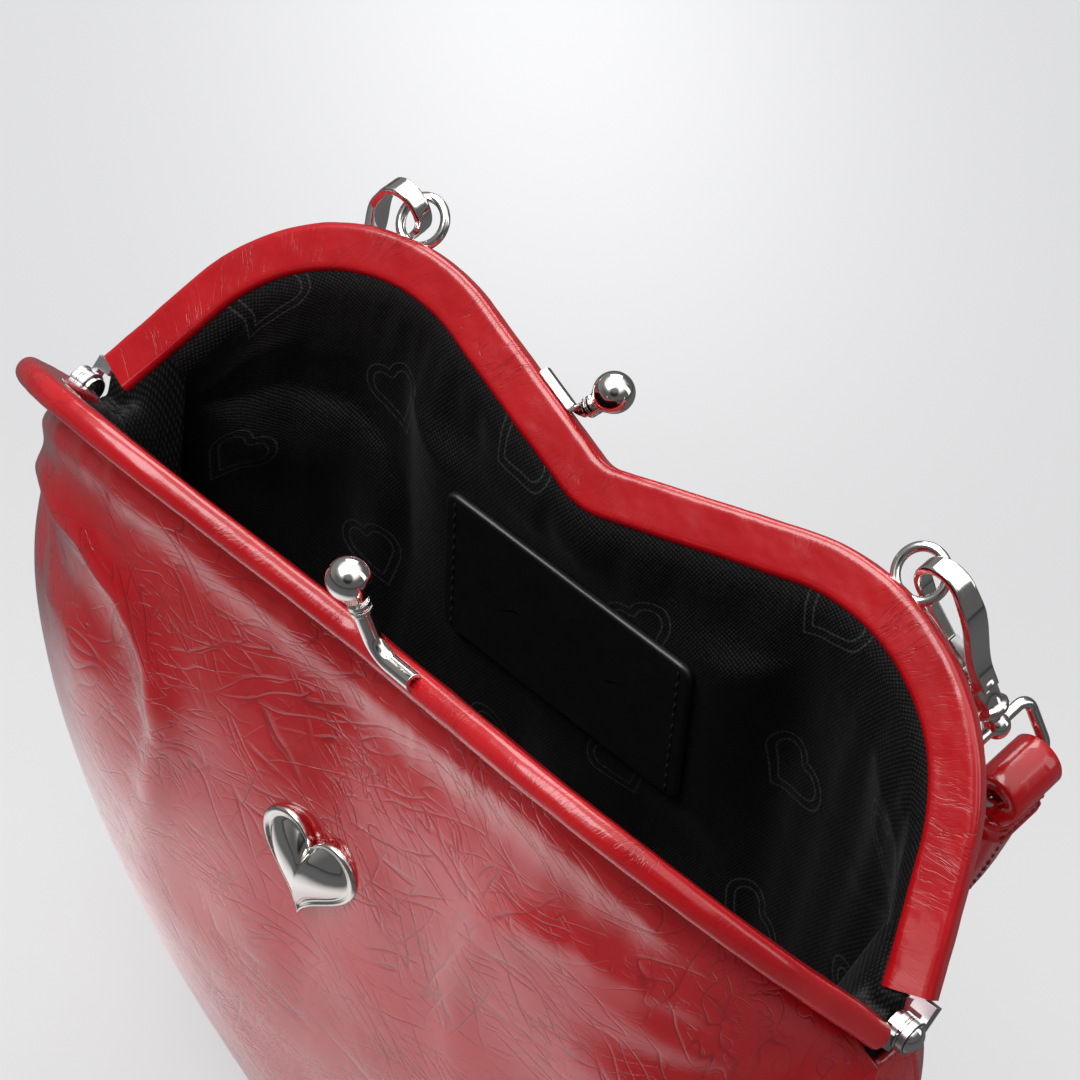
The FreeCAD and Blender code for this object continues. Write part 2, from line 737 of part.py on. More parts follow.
# A point of the heart border's right half: along from 0 at the hinge to 1 at the tip
def border_point(along):
    parts = ((1 - along) ** 3, 3 * (1 - along) ** 2 * along, 3 * (1 - along) * along ** 2, along ** 3)
    return vec(sum(p * c[0] for p, c in zip(parts, border)), 0, -sum(p * c[1] for p, c in zip(parts, border)))


def border_depth(along):
    swell = math.sin(math.pi / 2 * min(1, along / full_depth_share))
    return size("side_half_depth") + (size("base_half_depth") - size("side_half_depth")) * swell


# The place a share of the way round the frame's inner edge, from the left arm to the right one
def top_point(share):
    left = share * top_length
    for edge in top_edges:
        if left <= edge.Length or edge is top_edges[-1]:
            return edge.valueAt(edge.getParameterByLength(min(left, edge.Length)))
        left -= edge.Length


# A point of a panel's outside: share goes from left to right, down from the frame to the border
def panel_point(side, share, down):
    edge = top_point(share)
    top = lean[side].multVec(vec(edge.x, side * (bar_mid + size("panel_set_out")), edge.y))
    along = 1 - abs(2 * share - 1)
    low = border_point(along)
    low = vec(low.x if share > 1 / 2 else -low.x, side * border_depth(along), low.z)
    swell = side * math.sin(math.pi * share)
    upper = top * (2 / 3) + low * (1 / 3) + vec(0, swell * size("upper_bulge"), 0)
    lower = top * (1 / 3) + low * (2 / 3) + vec(0, swell * size("lower_bulge"), 0)
    rest = 1 - down
    return top * rest ** 3 + upper * (3 * rest ** 2 * down) + lower * (3 * rest * down ** 2) + low * down ** 3


# A point of a gusset's outside: down from the hinge to the tip, across from the front to the back
def gusset_point(hand, down, across_share):
    here = border_point(down)
    ahead = border_point(down + step_share) - border_point(down - step_share)
    out = vec(-ahead.z, 0, ahead.x).normalize()
    inset = size("leather") + size("lining_gap") + size("lining") + size("seam_gap")
    here += out * (size("gusset_crown") * math.sin(math.pi * across_share) * down)
    depth = (border_depth(down) - inset) * (2 * across_share - 1)
    return vec(hand * here.x, depth, here.z)


def surface_normal(point, first, second):
    ahead = point(min(1, first + step_share), second) - point(max(0, first - step_share), second)
    beside = point(first, min(1, second + step_share)) - point(first, max(0, second - step_share))
    return ahead.cross(beside).normalize()


def shares(low, high, count):
    return [low + (high - low) * step / (count - 1) for step in range(count)]


# A closed sheet that follows a curved surface, between two depths below it
def sheet_solid(point, inward, first, second, outer, inner):
    faces = []
    borders = []
    for depth in (outer, inner):
        grid = [[point(a, b) + surface_normal(point, a, b) * (inward * depth) for b in second] for a in first]
        surface = Part.BSplineSurface()
        surface.interpolate(grid)
        low_u, high_u, low_v, high_v = surface.bounds()
        faces.append(surface.toShape())
        borders.append([surface.uIso(low_u), surface.uIso(high_u), surface.vIso(low_v), surface.vIso(high_v)])
    for one, other in zip(*borders):
        faces.append(Part.makeRuledSurface(one.toShape(), other.toShape()))
    shell = Part.makeShell(faces)
    shell.sewShape()
    solid = Part.makeSolid(shell)
    if solid.Volume < 0:
        solid.reverse()
    return solid


panel_steps = (shares(0, 1, 65), shares(0, 1, 17))
gusset_steps = (shares(step_share, gusset_end_share, 17), shares(0, 1, 7))
lining_depth = size("leather") + size("lining_gap")
lined_depth = lining_depth + size("lining")


def on_panel(side):
    return lambda share, down: panel_point(side, share, down)


# How far down a panel's middle a length from the frame reaches
def share_down(side, length):
    down = 0
    run = 0
    while run < length:
        run += (panel_point(side, 1 / 2, down + step_share) - panel_point(side, 1 / 2, down)).Length
        down += step_share
    return down


badge_down = share_down(-1, size("badge_drop"))
badge_point = panel_point(-1, 1 / 2, badge_down)
badge_out = surface_normal(on_panel(-1), 1 / 2, badge_down)
badge_out *= math.copysign(1, -badge_out.y)
badge_turn = FreeCAD.Rotation(vec(0, -1, 0), badge_out)
leg_end = size("leather") + size("badge_plate_gap") + size("badge_plate_thickness")


# Rods through the leather behind the badge, from out of the leather to below it
def badge_rods(radius, out, below):
    rods = []
    for hand in hands:
        foot = badge_point + vec(hand * size("badge_leg_side"), 0, 0)
        rods.append(cylinder(radius, foot + badge_out * out, foot - badge_out * below))
    return rods


def panel(side, inward):
    label = side_name[side] + "_panel"
    solid = sheet_solid(on_panel(side), inward, *panel_steps, 0, size("leather"))
    if side < 0:
        for hole in badge_rods(size("badge_leg_radius") + size("badge_leg_play"), size("overrun"), size("overrun")):
            solid = solid.cut(hole)
    return keep(shaped(label, solid), label)


def panel_lining(side, inward):
    label = side_name[side] + "_lining"
    return keep(shaped(label, sheet_solid(on_panel(side), inward, *panel_steps, lining_depth, lined_depth)), label)


# Flat stitched leather patch on the middle of the back lining
def label_patch(inward):
    top = panel_point(1, 1 / 2, share_down(1, size("label_drop")))
    foot = panel_point(1, 1 / 2, share_down(1, size("label_drop") + size("label_height")))
    point = lambda a, b: top + (foot - top) * b + vec(size("label_width") * (a - 1 / 2), 0, 0)
    outer = lined_depth + size("label_gap")
    solid = sheet_solid(point, inward, shares(0, 1, 5), shares(0, 1, 5), outer, outer + size("label_thickness"))
    return keep(shaped("label_patch", solid), "label_patch")


def gusset(hand, inward):
    point = lambda down, across_share: gusset_point(hand, down, across_share)
    label = hand_name[hand] + "_gusset"
    keep(shaped(label, sheet_solid(point, inward, *gusset_steps, 0, size("leather"))), label)
    lined = sheet_solid(point, inward, *gusset_steps, lining_depth, lined_depth)
    keep(shaped(label + "_lining", lined), label + "_lining")


# Plain heart plaque on two legs
def badge():
    tip = vec(0, -size("badge_height") / 2, 0)
    right = [tip + vec(a * size("badge_width"), b * size("badge_height"), 0) for a, b in heart_shares]
    left = [mirrored(point) for point in reversed(right[:-1])]
    start = (tip + right[0]) / 2
    turns = [None] * len(right[:-1])
    bends = turns + [size("badge_dip_round")] + turns + [size("badge_tip_round")]
    outline = rounded_runs([start] + right + left + [tip, start], bends)
    plaque, pad = padded_body("badge_plaque", outline, "Sizes.badge_depth")
    round_edges(plaque, pad, face_edges(pad.Shape, (-1,)), "Sizes.badge_round")
    plaque.Placement = FreeCAD.Placement(
        badge_point + badge_out * (size("badge_gap") + size("badge_depth") / 2), badge_turn)
    legs = [shaped(f"badge_leg_{count}", leg) for count, leg in enumerate(
        badge_rods(size("badge_leg_radius"), size("badge_gap") + size("badge_depth") / 2, leg_end))]
    return keep(fuse("badge", [plaque] + legs), "badge")


def badge_plates():
    start = -size("leather") - size("badge_plate_gap")
    plates = []
    for plate, hole in zip(badge_rods(size("badge_plate_radius"), start, leg_end),
                           badge_rods(size("badge_leg_radius"), start, leg_end)):
        plates.append(plate.cut(hole))
    return keep(shaped("badge_plates", Part.makeCompound(plates)), "badge_plates")


for side in (1, -1):
    panel(side, -side)
    panel_lining(side, -side)
label_patch(-1)
for hand in hands:
    gusset(hand, hand)
badge()
badge_plates()

doc.recompute()
for item in doc.Objects:
    if "Invalid" in item.State or "Error" in item.State:
        raise RuntimeError(f"{item.Label} did not build")
for item in nodes:
    if item.Shape.isNull() or not item.Shape.isValid() or not item.Shape.Solids:
        raise RuntimeError(f"{item.Label} is not a valid solid")

os.makedirs("parts", exist_ok=True)
for item in nodes:
    item.Shape.exportStep(f"parts/{item.Label}.step")
    print(item.Label, len(item.Shape.Solids), round(item.Shape.Volume, 1))
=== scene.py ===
import json
import math
import bpy
import numpy as np
from mathutils import Matrix, Vector, noise
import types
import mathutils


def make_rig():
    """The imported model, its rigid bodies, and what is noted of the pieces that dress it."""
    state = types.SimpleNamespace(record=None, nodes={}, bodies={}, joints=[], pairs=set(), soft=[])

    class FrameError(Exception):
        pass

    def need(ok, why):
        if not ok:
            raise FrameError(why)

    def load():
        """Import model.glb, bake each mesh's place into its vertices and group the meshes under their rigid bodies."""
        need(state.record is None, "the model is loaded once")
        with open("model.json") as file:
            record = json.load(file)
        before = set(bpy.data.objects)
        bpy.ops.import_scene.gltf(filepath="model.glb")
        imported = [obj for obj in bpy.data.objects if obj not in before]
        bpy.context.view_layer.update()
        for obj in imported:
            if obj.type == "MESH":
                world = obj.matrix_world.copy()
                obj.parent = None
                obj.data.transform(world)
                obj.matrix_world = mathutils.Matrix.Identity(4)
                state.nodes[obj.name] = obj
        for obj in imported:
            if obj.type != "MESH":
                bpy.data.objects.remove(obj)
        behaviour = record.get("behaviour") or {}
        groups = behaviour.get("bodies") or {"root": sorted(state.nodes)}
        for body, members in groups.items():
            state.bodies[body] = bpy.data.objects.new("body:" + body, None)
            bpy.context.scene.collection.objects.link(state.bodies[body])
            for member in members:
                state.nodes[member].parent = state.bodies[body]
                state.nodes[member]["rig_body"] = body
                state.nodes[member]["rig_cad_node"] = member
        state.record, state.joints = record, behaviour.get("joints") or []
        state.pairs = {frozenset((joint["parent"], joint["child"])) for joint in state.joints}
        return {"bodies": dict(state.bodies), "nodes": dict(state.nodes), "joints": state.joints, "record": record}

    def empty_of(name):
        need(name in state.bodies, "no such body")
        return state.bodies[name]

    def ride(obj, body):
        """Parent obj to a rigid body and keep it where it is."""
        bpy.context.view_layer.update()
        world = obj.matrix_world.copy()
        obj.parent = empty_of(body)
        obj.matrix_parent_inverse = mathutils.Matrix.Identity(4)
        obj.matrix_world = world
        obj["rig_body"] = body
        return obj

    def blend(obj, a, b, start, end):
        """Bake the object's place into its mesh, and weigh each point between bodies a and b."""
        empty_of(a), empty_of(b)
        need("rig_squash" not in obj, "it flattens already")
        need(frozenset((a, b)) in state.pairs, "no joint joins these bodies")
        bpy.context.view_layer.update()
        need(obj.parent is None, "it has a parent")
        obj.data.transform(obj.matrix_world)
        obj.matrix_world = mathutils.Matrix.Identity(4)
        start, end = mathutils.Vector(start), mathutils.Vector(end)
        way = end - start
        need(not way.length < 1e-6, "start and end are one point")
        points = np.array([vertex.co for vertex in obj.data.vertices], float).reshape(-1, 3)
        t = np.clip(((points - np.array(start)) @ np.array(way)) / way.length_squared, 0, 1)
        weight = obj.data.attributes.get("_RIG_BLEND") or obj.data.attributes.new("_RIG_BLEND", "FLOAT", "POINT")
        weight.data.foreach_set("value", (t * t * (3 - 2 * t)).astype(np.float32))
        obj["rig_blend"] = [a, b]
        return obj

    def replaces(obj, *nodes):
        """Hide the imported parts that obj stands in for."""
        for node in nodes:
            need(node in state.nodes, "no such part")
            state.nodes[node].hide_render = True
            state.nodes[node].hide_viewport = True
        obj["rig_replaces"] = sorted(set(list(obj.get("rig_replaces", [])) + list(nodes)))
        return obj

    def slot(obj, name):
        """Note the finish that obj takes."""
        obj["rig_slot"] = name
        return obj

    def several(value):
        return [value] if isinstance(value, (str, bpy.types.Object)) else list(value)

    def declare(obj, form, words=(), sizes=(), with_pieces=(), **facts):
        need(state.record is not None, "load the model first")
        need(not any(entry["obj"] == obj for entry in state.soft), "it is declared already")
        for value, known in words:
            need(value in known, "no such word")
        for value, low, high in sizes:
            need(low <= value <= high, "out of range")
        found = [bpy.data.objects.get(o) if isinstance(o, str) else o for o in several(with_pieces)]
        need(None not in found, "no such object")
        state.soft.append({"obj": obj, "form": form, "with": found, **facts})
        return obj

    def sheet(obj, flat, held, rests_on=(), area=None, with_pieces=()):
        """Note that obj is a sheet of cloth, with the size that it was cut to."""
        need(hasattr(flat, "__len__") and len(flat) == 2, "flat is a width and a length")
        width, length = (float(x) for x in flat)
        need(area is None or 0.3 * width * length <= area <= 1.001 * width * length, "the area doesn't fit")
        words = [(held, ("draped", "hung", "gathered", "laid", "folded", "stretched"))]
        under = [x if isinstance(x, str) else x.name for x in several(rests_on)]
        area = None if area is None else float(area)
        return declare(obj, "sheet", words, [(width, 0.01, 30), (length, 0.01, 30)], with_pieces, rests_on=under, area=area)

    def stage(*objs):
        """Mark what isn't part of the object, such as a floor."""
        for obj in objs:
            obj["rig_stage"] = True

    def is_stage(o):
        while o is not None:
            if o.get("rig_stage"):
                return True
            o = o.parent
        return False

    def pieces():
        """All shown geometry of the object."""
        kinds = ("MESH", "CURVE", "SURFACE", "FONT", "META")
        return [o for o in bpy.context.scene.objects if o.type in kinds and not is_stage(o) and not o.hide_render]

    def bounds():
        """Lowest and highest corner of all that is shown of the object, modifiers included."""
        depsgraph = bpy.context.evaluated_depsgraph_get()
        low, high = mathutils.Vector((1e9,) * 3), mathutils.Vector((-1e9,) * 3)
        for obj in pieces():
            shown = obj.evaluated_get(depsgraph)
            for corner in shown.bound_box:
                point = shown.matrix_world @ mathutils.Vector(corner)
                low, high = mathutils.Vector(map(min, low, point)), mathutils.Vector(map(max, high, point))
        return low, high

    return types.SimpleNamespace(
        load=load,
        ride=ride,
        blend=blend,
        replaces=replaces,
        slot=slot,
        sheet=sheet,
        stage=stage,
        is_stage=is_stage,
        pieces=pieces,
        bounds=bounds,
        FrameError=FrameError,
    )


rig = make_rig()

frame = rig.load()
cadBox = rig.bounds()
scene = bpy.context.scene
scene.view_settings.view_transform = "Standard"
mm = 0.001
sides = ((1, "back"), (-1, "front"))
hands = ((1, "right"), (-1, "left"))
faces = ((1, "outer"), (-1, "inner"))
print("frame loaded:", len(frame["nodes"]), "nodes")


class Settings(dict):  # a dictionary whose values are also read as attributes
    __getattr__ = dict.__getitem__


class Wire:  # a node's output that does sums
    def __init__(self, web, socket):
        self.web, self.socket = web, socket

    def also(self, name):  # another output of the same node
        return Wire(self.web, self.socket.node.outputs[name])

    def __add__(self, other):
        return self.web.maths("ADD", self, other)

    def __sub__(self, other):
        return self.web.maths("SUBTRACT", self, other)

    def __rsub__(self, other):
        return self.web.maths("SUBTRACT", other, self)

    def __mul__(self, other):
        return self.web.maths("MULTIPLY", self, other)

    def __truediv__(self, other):
        return self.web.maths("DIVIDE", self, other)

    def __abs__(self):
        return self.web.maths("ABSOLUTE", self)

    __radd__ = __add__
    __rmul__ = __mul__


class Web:  # a node tree that takes any node, with its inputs linked or set
    def __init__(self, tree):
        self.tree = tree

    def add(self, kind, inputs=None, out=0, **settings):
        node = self.tree.nodes.new(kind)
        for key, value in settings.items():
            setattr(node, key, value)
        for key, value in (inputs or {}).items():
            if isinstance(value, Wire):
                self.tree.links.new(value.socket, node.inputs[key])
            else:
                node.inputs[key].default_value = value
        return Wire(self, node.outputs[out]) if len(node.outputs) else node

    def shape(self, kind, inputs=None, out=0, **settings):
        return self.add("GeometryNode" + kind, inputs, out, **settings)

    def maths(self, operation, *values):
        return self.add("ShaderNodeMath", dict(enumerate(values)), operation=operation)

    def vectors(self, operation, *values):
        return self.add("ShaderNodeVectorMath", dict(enumerate(values)), operation=operation)

    def scaled(self, vector, factor):
        return self.add("ShaderNodeVectorMath", {0: vector, "Scale": factor}, operation="SCALE")

    def joined(self, parts):  # a vector from its parts, 0 for X to 2 for Z
        return self.add("ShaderNodeCombineXYZ", parts)

    def mixed(self, factor, one, other):
        return self.add("ShaderNodeMix", {0: factor, 6: one, 7: other}, 2, data_type="RGBA")

    def smooth(self, value, low, high):
        return self.add("ShaderNodeMapRange", {"Value": value, "From Min": low, "From Max": high},
                        interpolation_type="SMOOTHSTEP")

    def noise(self, place, scale, detail=2.0, roughness=0.5, out="Fac"):
        return self.add("ShaderNodeTexNoise",
                        {"Vector": place, "Scale": scale, "Detail": detail, "Roughness": roughness}, out)

    def bumped(self, height, **more):  # height in millimetres
        return self.add("ShaderNodeBump", {"Height": height, "Distance": mm, **more})

    def surface(self, inputs):
        self.add("ShaderNodeOutputMaterial", {"Surface": self.add("ShaderNodeBsdfPrincipled", inputs)})


def newMaterial(name):
    material = bpy.data.materials.new(name)
    material.use_nodes = True
    material.node_tree.nodes.clear()
    return material, Web(material.node_tree)


def objectPlace(web, turn=0.0, drawn=1.0, bend=None):  # in millimetres, turned about Y and drawn out along X
    coords = web.add("ShaderNodeTexCoord", out="Object")
    if bend:
        coords = web.vectors("ADD", coords, bend)
    return web.add("ShaderNodeMapping", {"Vector": coords, "Rotation": (0.0, turn, 0.0),
                                         "Scale": (drawn * mm, mm, mm)}, vector_type="TEXTURE")


# camera at the photograph's angle
cameraSet = Settings(place=(0.2268, -0.2876, 0.3722), right=(0.7172, 0.6853, 0.1264), up=(-0.5390, 0.4307, 0.7238),
    back=(0.4416, -0.5873, 0.6783), lens=106.67, sensor=36.0, nearest=0.01)

lens = bpy.data.cameras.new("camera")
lens.lens = cameraSet.lens
lens.sensor_width = cameraSet.sensor
lens.sensor_fit = "HORIZONTAL"
lens.clip_start = cameraSet.nearest
camera = bpy.data.objects.new("camera", lens)
axes = Matrix((cameraSet.right, cameraSet.up, cameraSet.back)).transposed().to_4x4()
camera.matrix_world = Matrix.Translation(cameraSet.place) @ axes
scene.collection.objects.link(camera)
scene.camera = camera

# finishes, with depths and lengths in millimetres
# deep: the darker red that the painted shade in creases, cracks and wrinkle lines is mixed towards
redSet = Settings(colour=(0.44, 0.0040, 0.0080, 1), deep=(0.13, 0.0010, 0.0025, 1), lit=(0.52, 0.0070, 0.012, 1),
    litRange=(0.3, 0.75))


def redTone(web, tone):
    return web.mixed(web.smooth(tone, *redSet.litRange), redSet.colour, redSet.lit)


def relief(web, place, rows):  # noises of a scale, detail, roughness and depth
    return sum(web.noise(place, *kind) * depth for *kind, depth in rows)


def wander(web, place, scale, detail, roughness, much):  # a shift that varies from place to place
    shift = web.noise(place, scale, detail, roughness, "Color")
    return web.scaled(web.vectors("SUBTRACT", shift, (0.5, 0.5, 0.5)), much)


def foldLines(web, place, cell, wide):  # 1 along the level lines of a noise, which never close on a cell
    level = abs(web.noise(place, 1 / cell, 1.0, 0.4) - 0.5)
    return 1 - web.smooth(level, 0.0, wide)


def crackLines(web, place, cell, line, much):  # 1 along thin lines between cells
    place = web.vectors("ADD", place, wander(web, place, 0.07, 3.0, 0.6, much))
    edge = web.add("ShaderNodeTexVoronoi", {"Vector": place, "Scale": 1 / cell}, "Distance",
                   feature="DISTANCE_TO_EDGE")
    return 1 - web.smooth(edge, 0.0, line / cell)


# dark and crackDark: how far painted shade darkens the fine fold lines and the cracks
patentSet = Settings(turns=(22, -31, 57, -68, 5, 38, -14), cells=(4.0, 5.5, 5.0, 8.0, 9.0, 3.0, 3.4), drawn=10.0,
    step=(0.0, 13.0, 29.0), patchStep=37.0, patchStart=(11.0, 5.0), patchScale=0.045, patch=(0.46, 0.64), bend=7.0,
    bendScale=0.036, wide=0.034, thin=0.011, depth=0.10, thinDepth=0.055, crackTurn=-12, crackDrawn=4.0, crackCell=3.0,
    crackLine=0.28, crackWander=6.0, crackDepth=0.055, crackDark=0.6, bundleScale=0.06, bundle=(0.5, 0.68),
    relief=((0.05, 3.0, 0.5, 0.5), (0.22, 3.0, 0.55, 0.06), (2.2, 2.0, 0.5, 0.003)), toneScale=0.04, dark=0.45,
    rough=0.13, roughMore=0.06)


def patentLeather(name):  # crinkled lacquer: wandering folds in bundles that cross, with fine cracks between them, and painted shade darkening the fine fold lines and cracks
    s = patentSet
    material, web = newMaterial(name)
    place = objectPlace(web)
    folds, thin = 0.0, 0.0
    bend = wander(web, place, s.bendScale, 2.0, 0.5, s.bend * mm)
    for number, (turn, cell) in enumerate(zip(s.turns, s.cells)):
        drawn = objectPlace(web, math.radians(turn), s.drawn, bend)
        drawn = web.vectors("ADD", drawn, tuple(step * number for step in s.step))
        patch = web.vectors("ADD", place, (s.patchStep * number, *s.patchStart))
        patch = web.smooth(web.noise(patch, s.patchScale, 3.0, 0.6), *s.patch)
        folds = web.maths("MAXIMUM", foldLines(web, drawn, cell, s.wide) * patch, folds)
        thin = web.maths("MAXIMUM", foldLines(web, drawn, cell, s.thin) * patch, thin)
    crack = objectPlace(web, math.radians(s.crackTurn), s.crackDrawn)
    bundle = web.smooth(web.noise(place, s.bundleScale, 3.0, 0.6), *s.bundle)
    cracks = crackLines(web, crack, s.crackCell, s.crackLine, s.crackWander) * bundle
    height = relief(web, place, s.relief) - folds * s.depth - cracks * s.crackDepth - thin * s.thinDepth
    tone = web.noise(place, s.toneScale, 3.0)
    # painted shade: the fine fold lines and the cracks, which are grooves in the bump, are darkened towards the deep
    # red
    dark = web.maths("MAXIMUM", thin, cracks * s.crackDark) * s.dark
    web.surface({"Base Color": web.mixed(dark, redTone(web, tone), redSet.deep),
                 "Roughness": s.rough + tone * s.roughMore, "Normal": web.bumped(height),
                 "Specular IOR Level": 0.6, "Coat Weight": 0.8, "Coat Roughness": 0.03})
    return material


# dark: how far painted shade darkens the drawn wrinkle lines
barSet = Settings(slantScale=0.05, slant=14.0, lean=0.25, stretch=0.16, patchScale=0.06, patch=(0.44, 0.7),
    wrinkleScale=1.5, wrinkle=(0.02, 0.08), drawnScale=0.55, drawnWide=0.03, drawn=(0.008, 0.04),
    relief=((0.11, 3.0, 0.5, 0.2), (2.2, 2.0, 0.5, 0.004)), toneScale=0.07, dark=0.35, rough=0.17, roughPatch=0.08,
    roughTone=0.06)


def barLeather(name):  # smoother leather drawn round the frame, with fine wrinkles across it and painted shade in the drawn wrinkle lines
    s = barSet
    material, web = newMaterial(name)
    along, around = (web.add("ShaderNodeAttribute", out="Fac", attribute_name=key) / mm for key in ("along", "around"))
    place = objectPlace(web)
    slant = web.noise(place, s.slantScale, 2.0) * s.slant
    strip = web.joined({0: along + around * s.lean + slant, 1: around * s.stretch, 2: 0.0})
    patch = web.smooth(web.noise(place, s.patchScale, 3.0), *s.patch)
    wrinkle = web.noise(strip, s.wrinkleScale, 4.0, 0.65)
    drawn = web.smooth(abs(web.noise(strip, s.drawnScale, 3.0, 0.55) - 0.5), 0.0, s.drawnWide)
    tone = web.noise(place, s.toneScale, 3.0)
    (low, more), (drawnLow, drawnMore) = s.wrinkle, s.drawn
    height = wrinkle * (low + patch * more) + drawn * (drawnLow + patch * drawnMore)
    height = height + relief(web, place, s.relief)
    # painted shade: the drawn wrinkle lines, grooves in the bump, are darkened towards the deep red where the wrinkles
    # show
    colour = web.mixed((1 - drawn) * patch * s.dark, redTone(web, tone), redSet.deep)
    web.surface({"Base Color": colour, "Roughness": s.rough + patch * s.roughPatch + tone * s.roughTone,
                 "Normal": web.bumped(height), "Specular IOR Level": 0.5, "Coat Weight": 0.45, "Coat Roughness": 0.06})
    return material


motifSet = Settings(across=31.0, down=37.0, size=12.0, line=0.3, within=1.6, lobe=0.3536, turn=0.55, stitch=6.0,
    stitchSlant=0.8, rise=0.06, show=0.85, colour=(0.06, 0.06, 0.061, 1))
# dark and light: the cloth's colour between the threads, and the painted sheen on the thread crowns
weaveSet = Settings(pitch=7.4, slant=0.3, slubScale=1.3, stray=3.0, thread=0.03, slub=0.05, crumpleScale=0.3,
    crumple=0.1, crown=(0.45, 1.0), toneScale=0.09, rough=0.48, roughMore=0.16, dark=(0.0016, 0.0016, 0.0017, 1),
    light=(0.022, 0.0217, 0.0218, 1))


def heartLines(web, x, y):  # thin outline of a heart one unit high, and a smaller one in it
    x = abs(x)
    both = x + y
    lobe = web.maths("SQRT", (x - 0.25) * (x - 0.25) + (y - 0.75) * (y - 0.75)) - motifSet.lobe
    along = web.maths("MAXIMUM", both, 0.0) * 0.5
    side = web.maths("MINIMUM", x * x + (y - 1) * (y - 1), (x - along) * (x - along) + (y - along) * (y - along))
    side = web.maths("SQRT", side) * web.maths("SIGN", x - y)
    high = web.maths("GREATER_THAN", both, 1.0)
    gap = (lobe * high + side * (1 - high)) * motifSet.size
    outline, smaller = (1 - web.smooth(abs(off), 0.0, motifSet.line) for off in (gap, gap + motifSet.within))
    return web.maths("MAXIMUM", outline, smaller)


def blackLining(name):  # satin canvas with a tonal outline of small hearts, its thread crowns painted light as a painted sheen
    m, s = motifSet, weaveSet
    material, web = newMaterial(name)
    flat = web.scaled(web.add("ShaderNodeUVMap", uv_map="cloth"), 1 / mm)
    across = web.add("ShaderNodeSeparateXYZ", {0: flat}, "X")
    down = across.also("Y")
    column = web.maths("FLOOR", across / m.across)
    x = (across / m.across - column - 0.5) * m.across
    odd = web.maths("MODULO", abs(column), 2.0)
    shifted = down / m.down + odd * 0.5
    y = (shifted - web.maths("FLOOR", shifted) - 0.5) * m.down
    turn = odd * (2 * m.turn) - m.turn
    cosine, sine = web.maths("COSINE", turn), web.maths("SINE", turn)
    motif = heartLines(web, (x * cosine - y * sine) / m.size, (x * sine + y * cosine) / m.size + 0.5)
    motif = motif * (web.maths("SINE", (across * m.stitchSlant + down) * m.stitch) * 0.3 + 0.7)
    place = objectPlace(web)
    tone = web.noise(place, s.toneScale, 3.0)
    slub = web.noise(place, s.slubScale, 3.0, 0.6)
    warp = web.maths("SINE", (across + down * s.slant) * s.pitch + slub * s.stray)
    weft = web.maths("SINE", (down - across * s.slant) * s.pitch + slub * s.stray)
    canvas = warp * weft
    height = canvas * s.thread + slub * s.slub + motif * m.rise
    height = height + web.noise(place, s.crumpleScale, 2.0) * s.crumple
    # painted sheen: the crowns and slubs of the weave are painted light, and the rest of the black cloth stays dark
    weaveSheen = web.mixed(web.smooth(canvas * 0.5 + slub * 0.6 + 0.2, *s.crown), s.dark, s.light)
    web.surface({"Base Color": web.mixed(motif * m.show, weaveSheen, m.colour),
                 "Roughness": s.rough + tone * s.roughMore, "Normal": web.bumped(height),
                 "Specular IOR Level": 0.2, "Sheen Weight": 0.06, "Sheen Roughness": 0.35})
    return material


def blackLeather(name, dark, light):  # fine pebbled leather
    material, web = newMaterial(name)
    place = objectPlace(web)
    pebble = web.add("ShaderNodeTexVoronoi", {"Vector": place, "Scale": 1.5}, "Distance", feature="SMOOTH_F1")
    tone = web.noise(place, 0.2, 3.0)
    web.surface({"Base Color": web.mixed(tone, dark, light), "Roughness": 0.34 + tone * 0.12,
                 "Specular IOR Level": 0.65, "Normal": web.bumped(pebble * 0.018 + tone * 0.12)})
    return material


def brightMetal(name, colour, rough, edge):  # faint smears and scratches, and edges rounded in the shading
    material, web = newMaterial(name)
    smear = web.noise(objectPlace(web), 0.25, 3.0)
    scratch = web.noise(objectPlace(web, 0.6, 12.0), 4.0, 3.0)
    eased = web.add("ShaderNodeBevel", {"Radius": edge * mm}, samples=4)
    web.surface({"Base Color": colour, "Metallic": 1.0, "Roughness": rough + smear * 0.05,
                 "Normal": web.bumped(smear * 0.02 + scratch * 0.002, Normal=eased)})
    return material


def threadFinish(name, colour):
    material, web = newMaterial(name)
    ply = web.noise(objectPlace(web), 4.0, 2.0)
    tint = web.mixed(ply, tuple(c * 0.7 for c in colour[:3]) + (1,), colour)
    web.surface({"Base Color": tint, "Roughness": 0.55, "Normal": web.bumped(ply * 0.06)})
    return material


redLeather = patentLeather("patent_red_leather")
redBar = barLeather("red_bar_leather")
liningCloth = blackLining("black_satin_lining")
labelLeather = blackLeather("black_label_leather", (0.0068, 0.0068, 0.0071, 1), (0.0115, 0.0112, 0.0112, 1))
chrome = brightMetal("bright_chrome", (0.82, 0.80, 0.765, 1), 0.04, 0.22)
steel = brightMetal("frame_steel", (0.55, 0.55, 0.56, 1), 0.26, 0.1)
blackThread = threadFinish("black_thread", (0.016, 0.016, 0.017, 1))
redThread = threadFinish("red_thread", (0.20, 0.004, 0.01, 1))
print("finishes made")


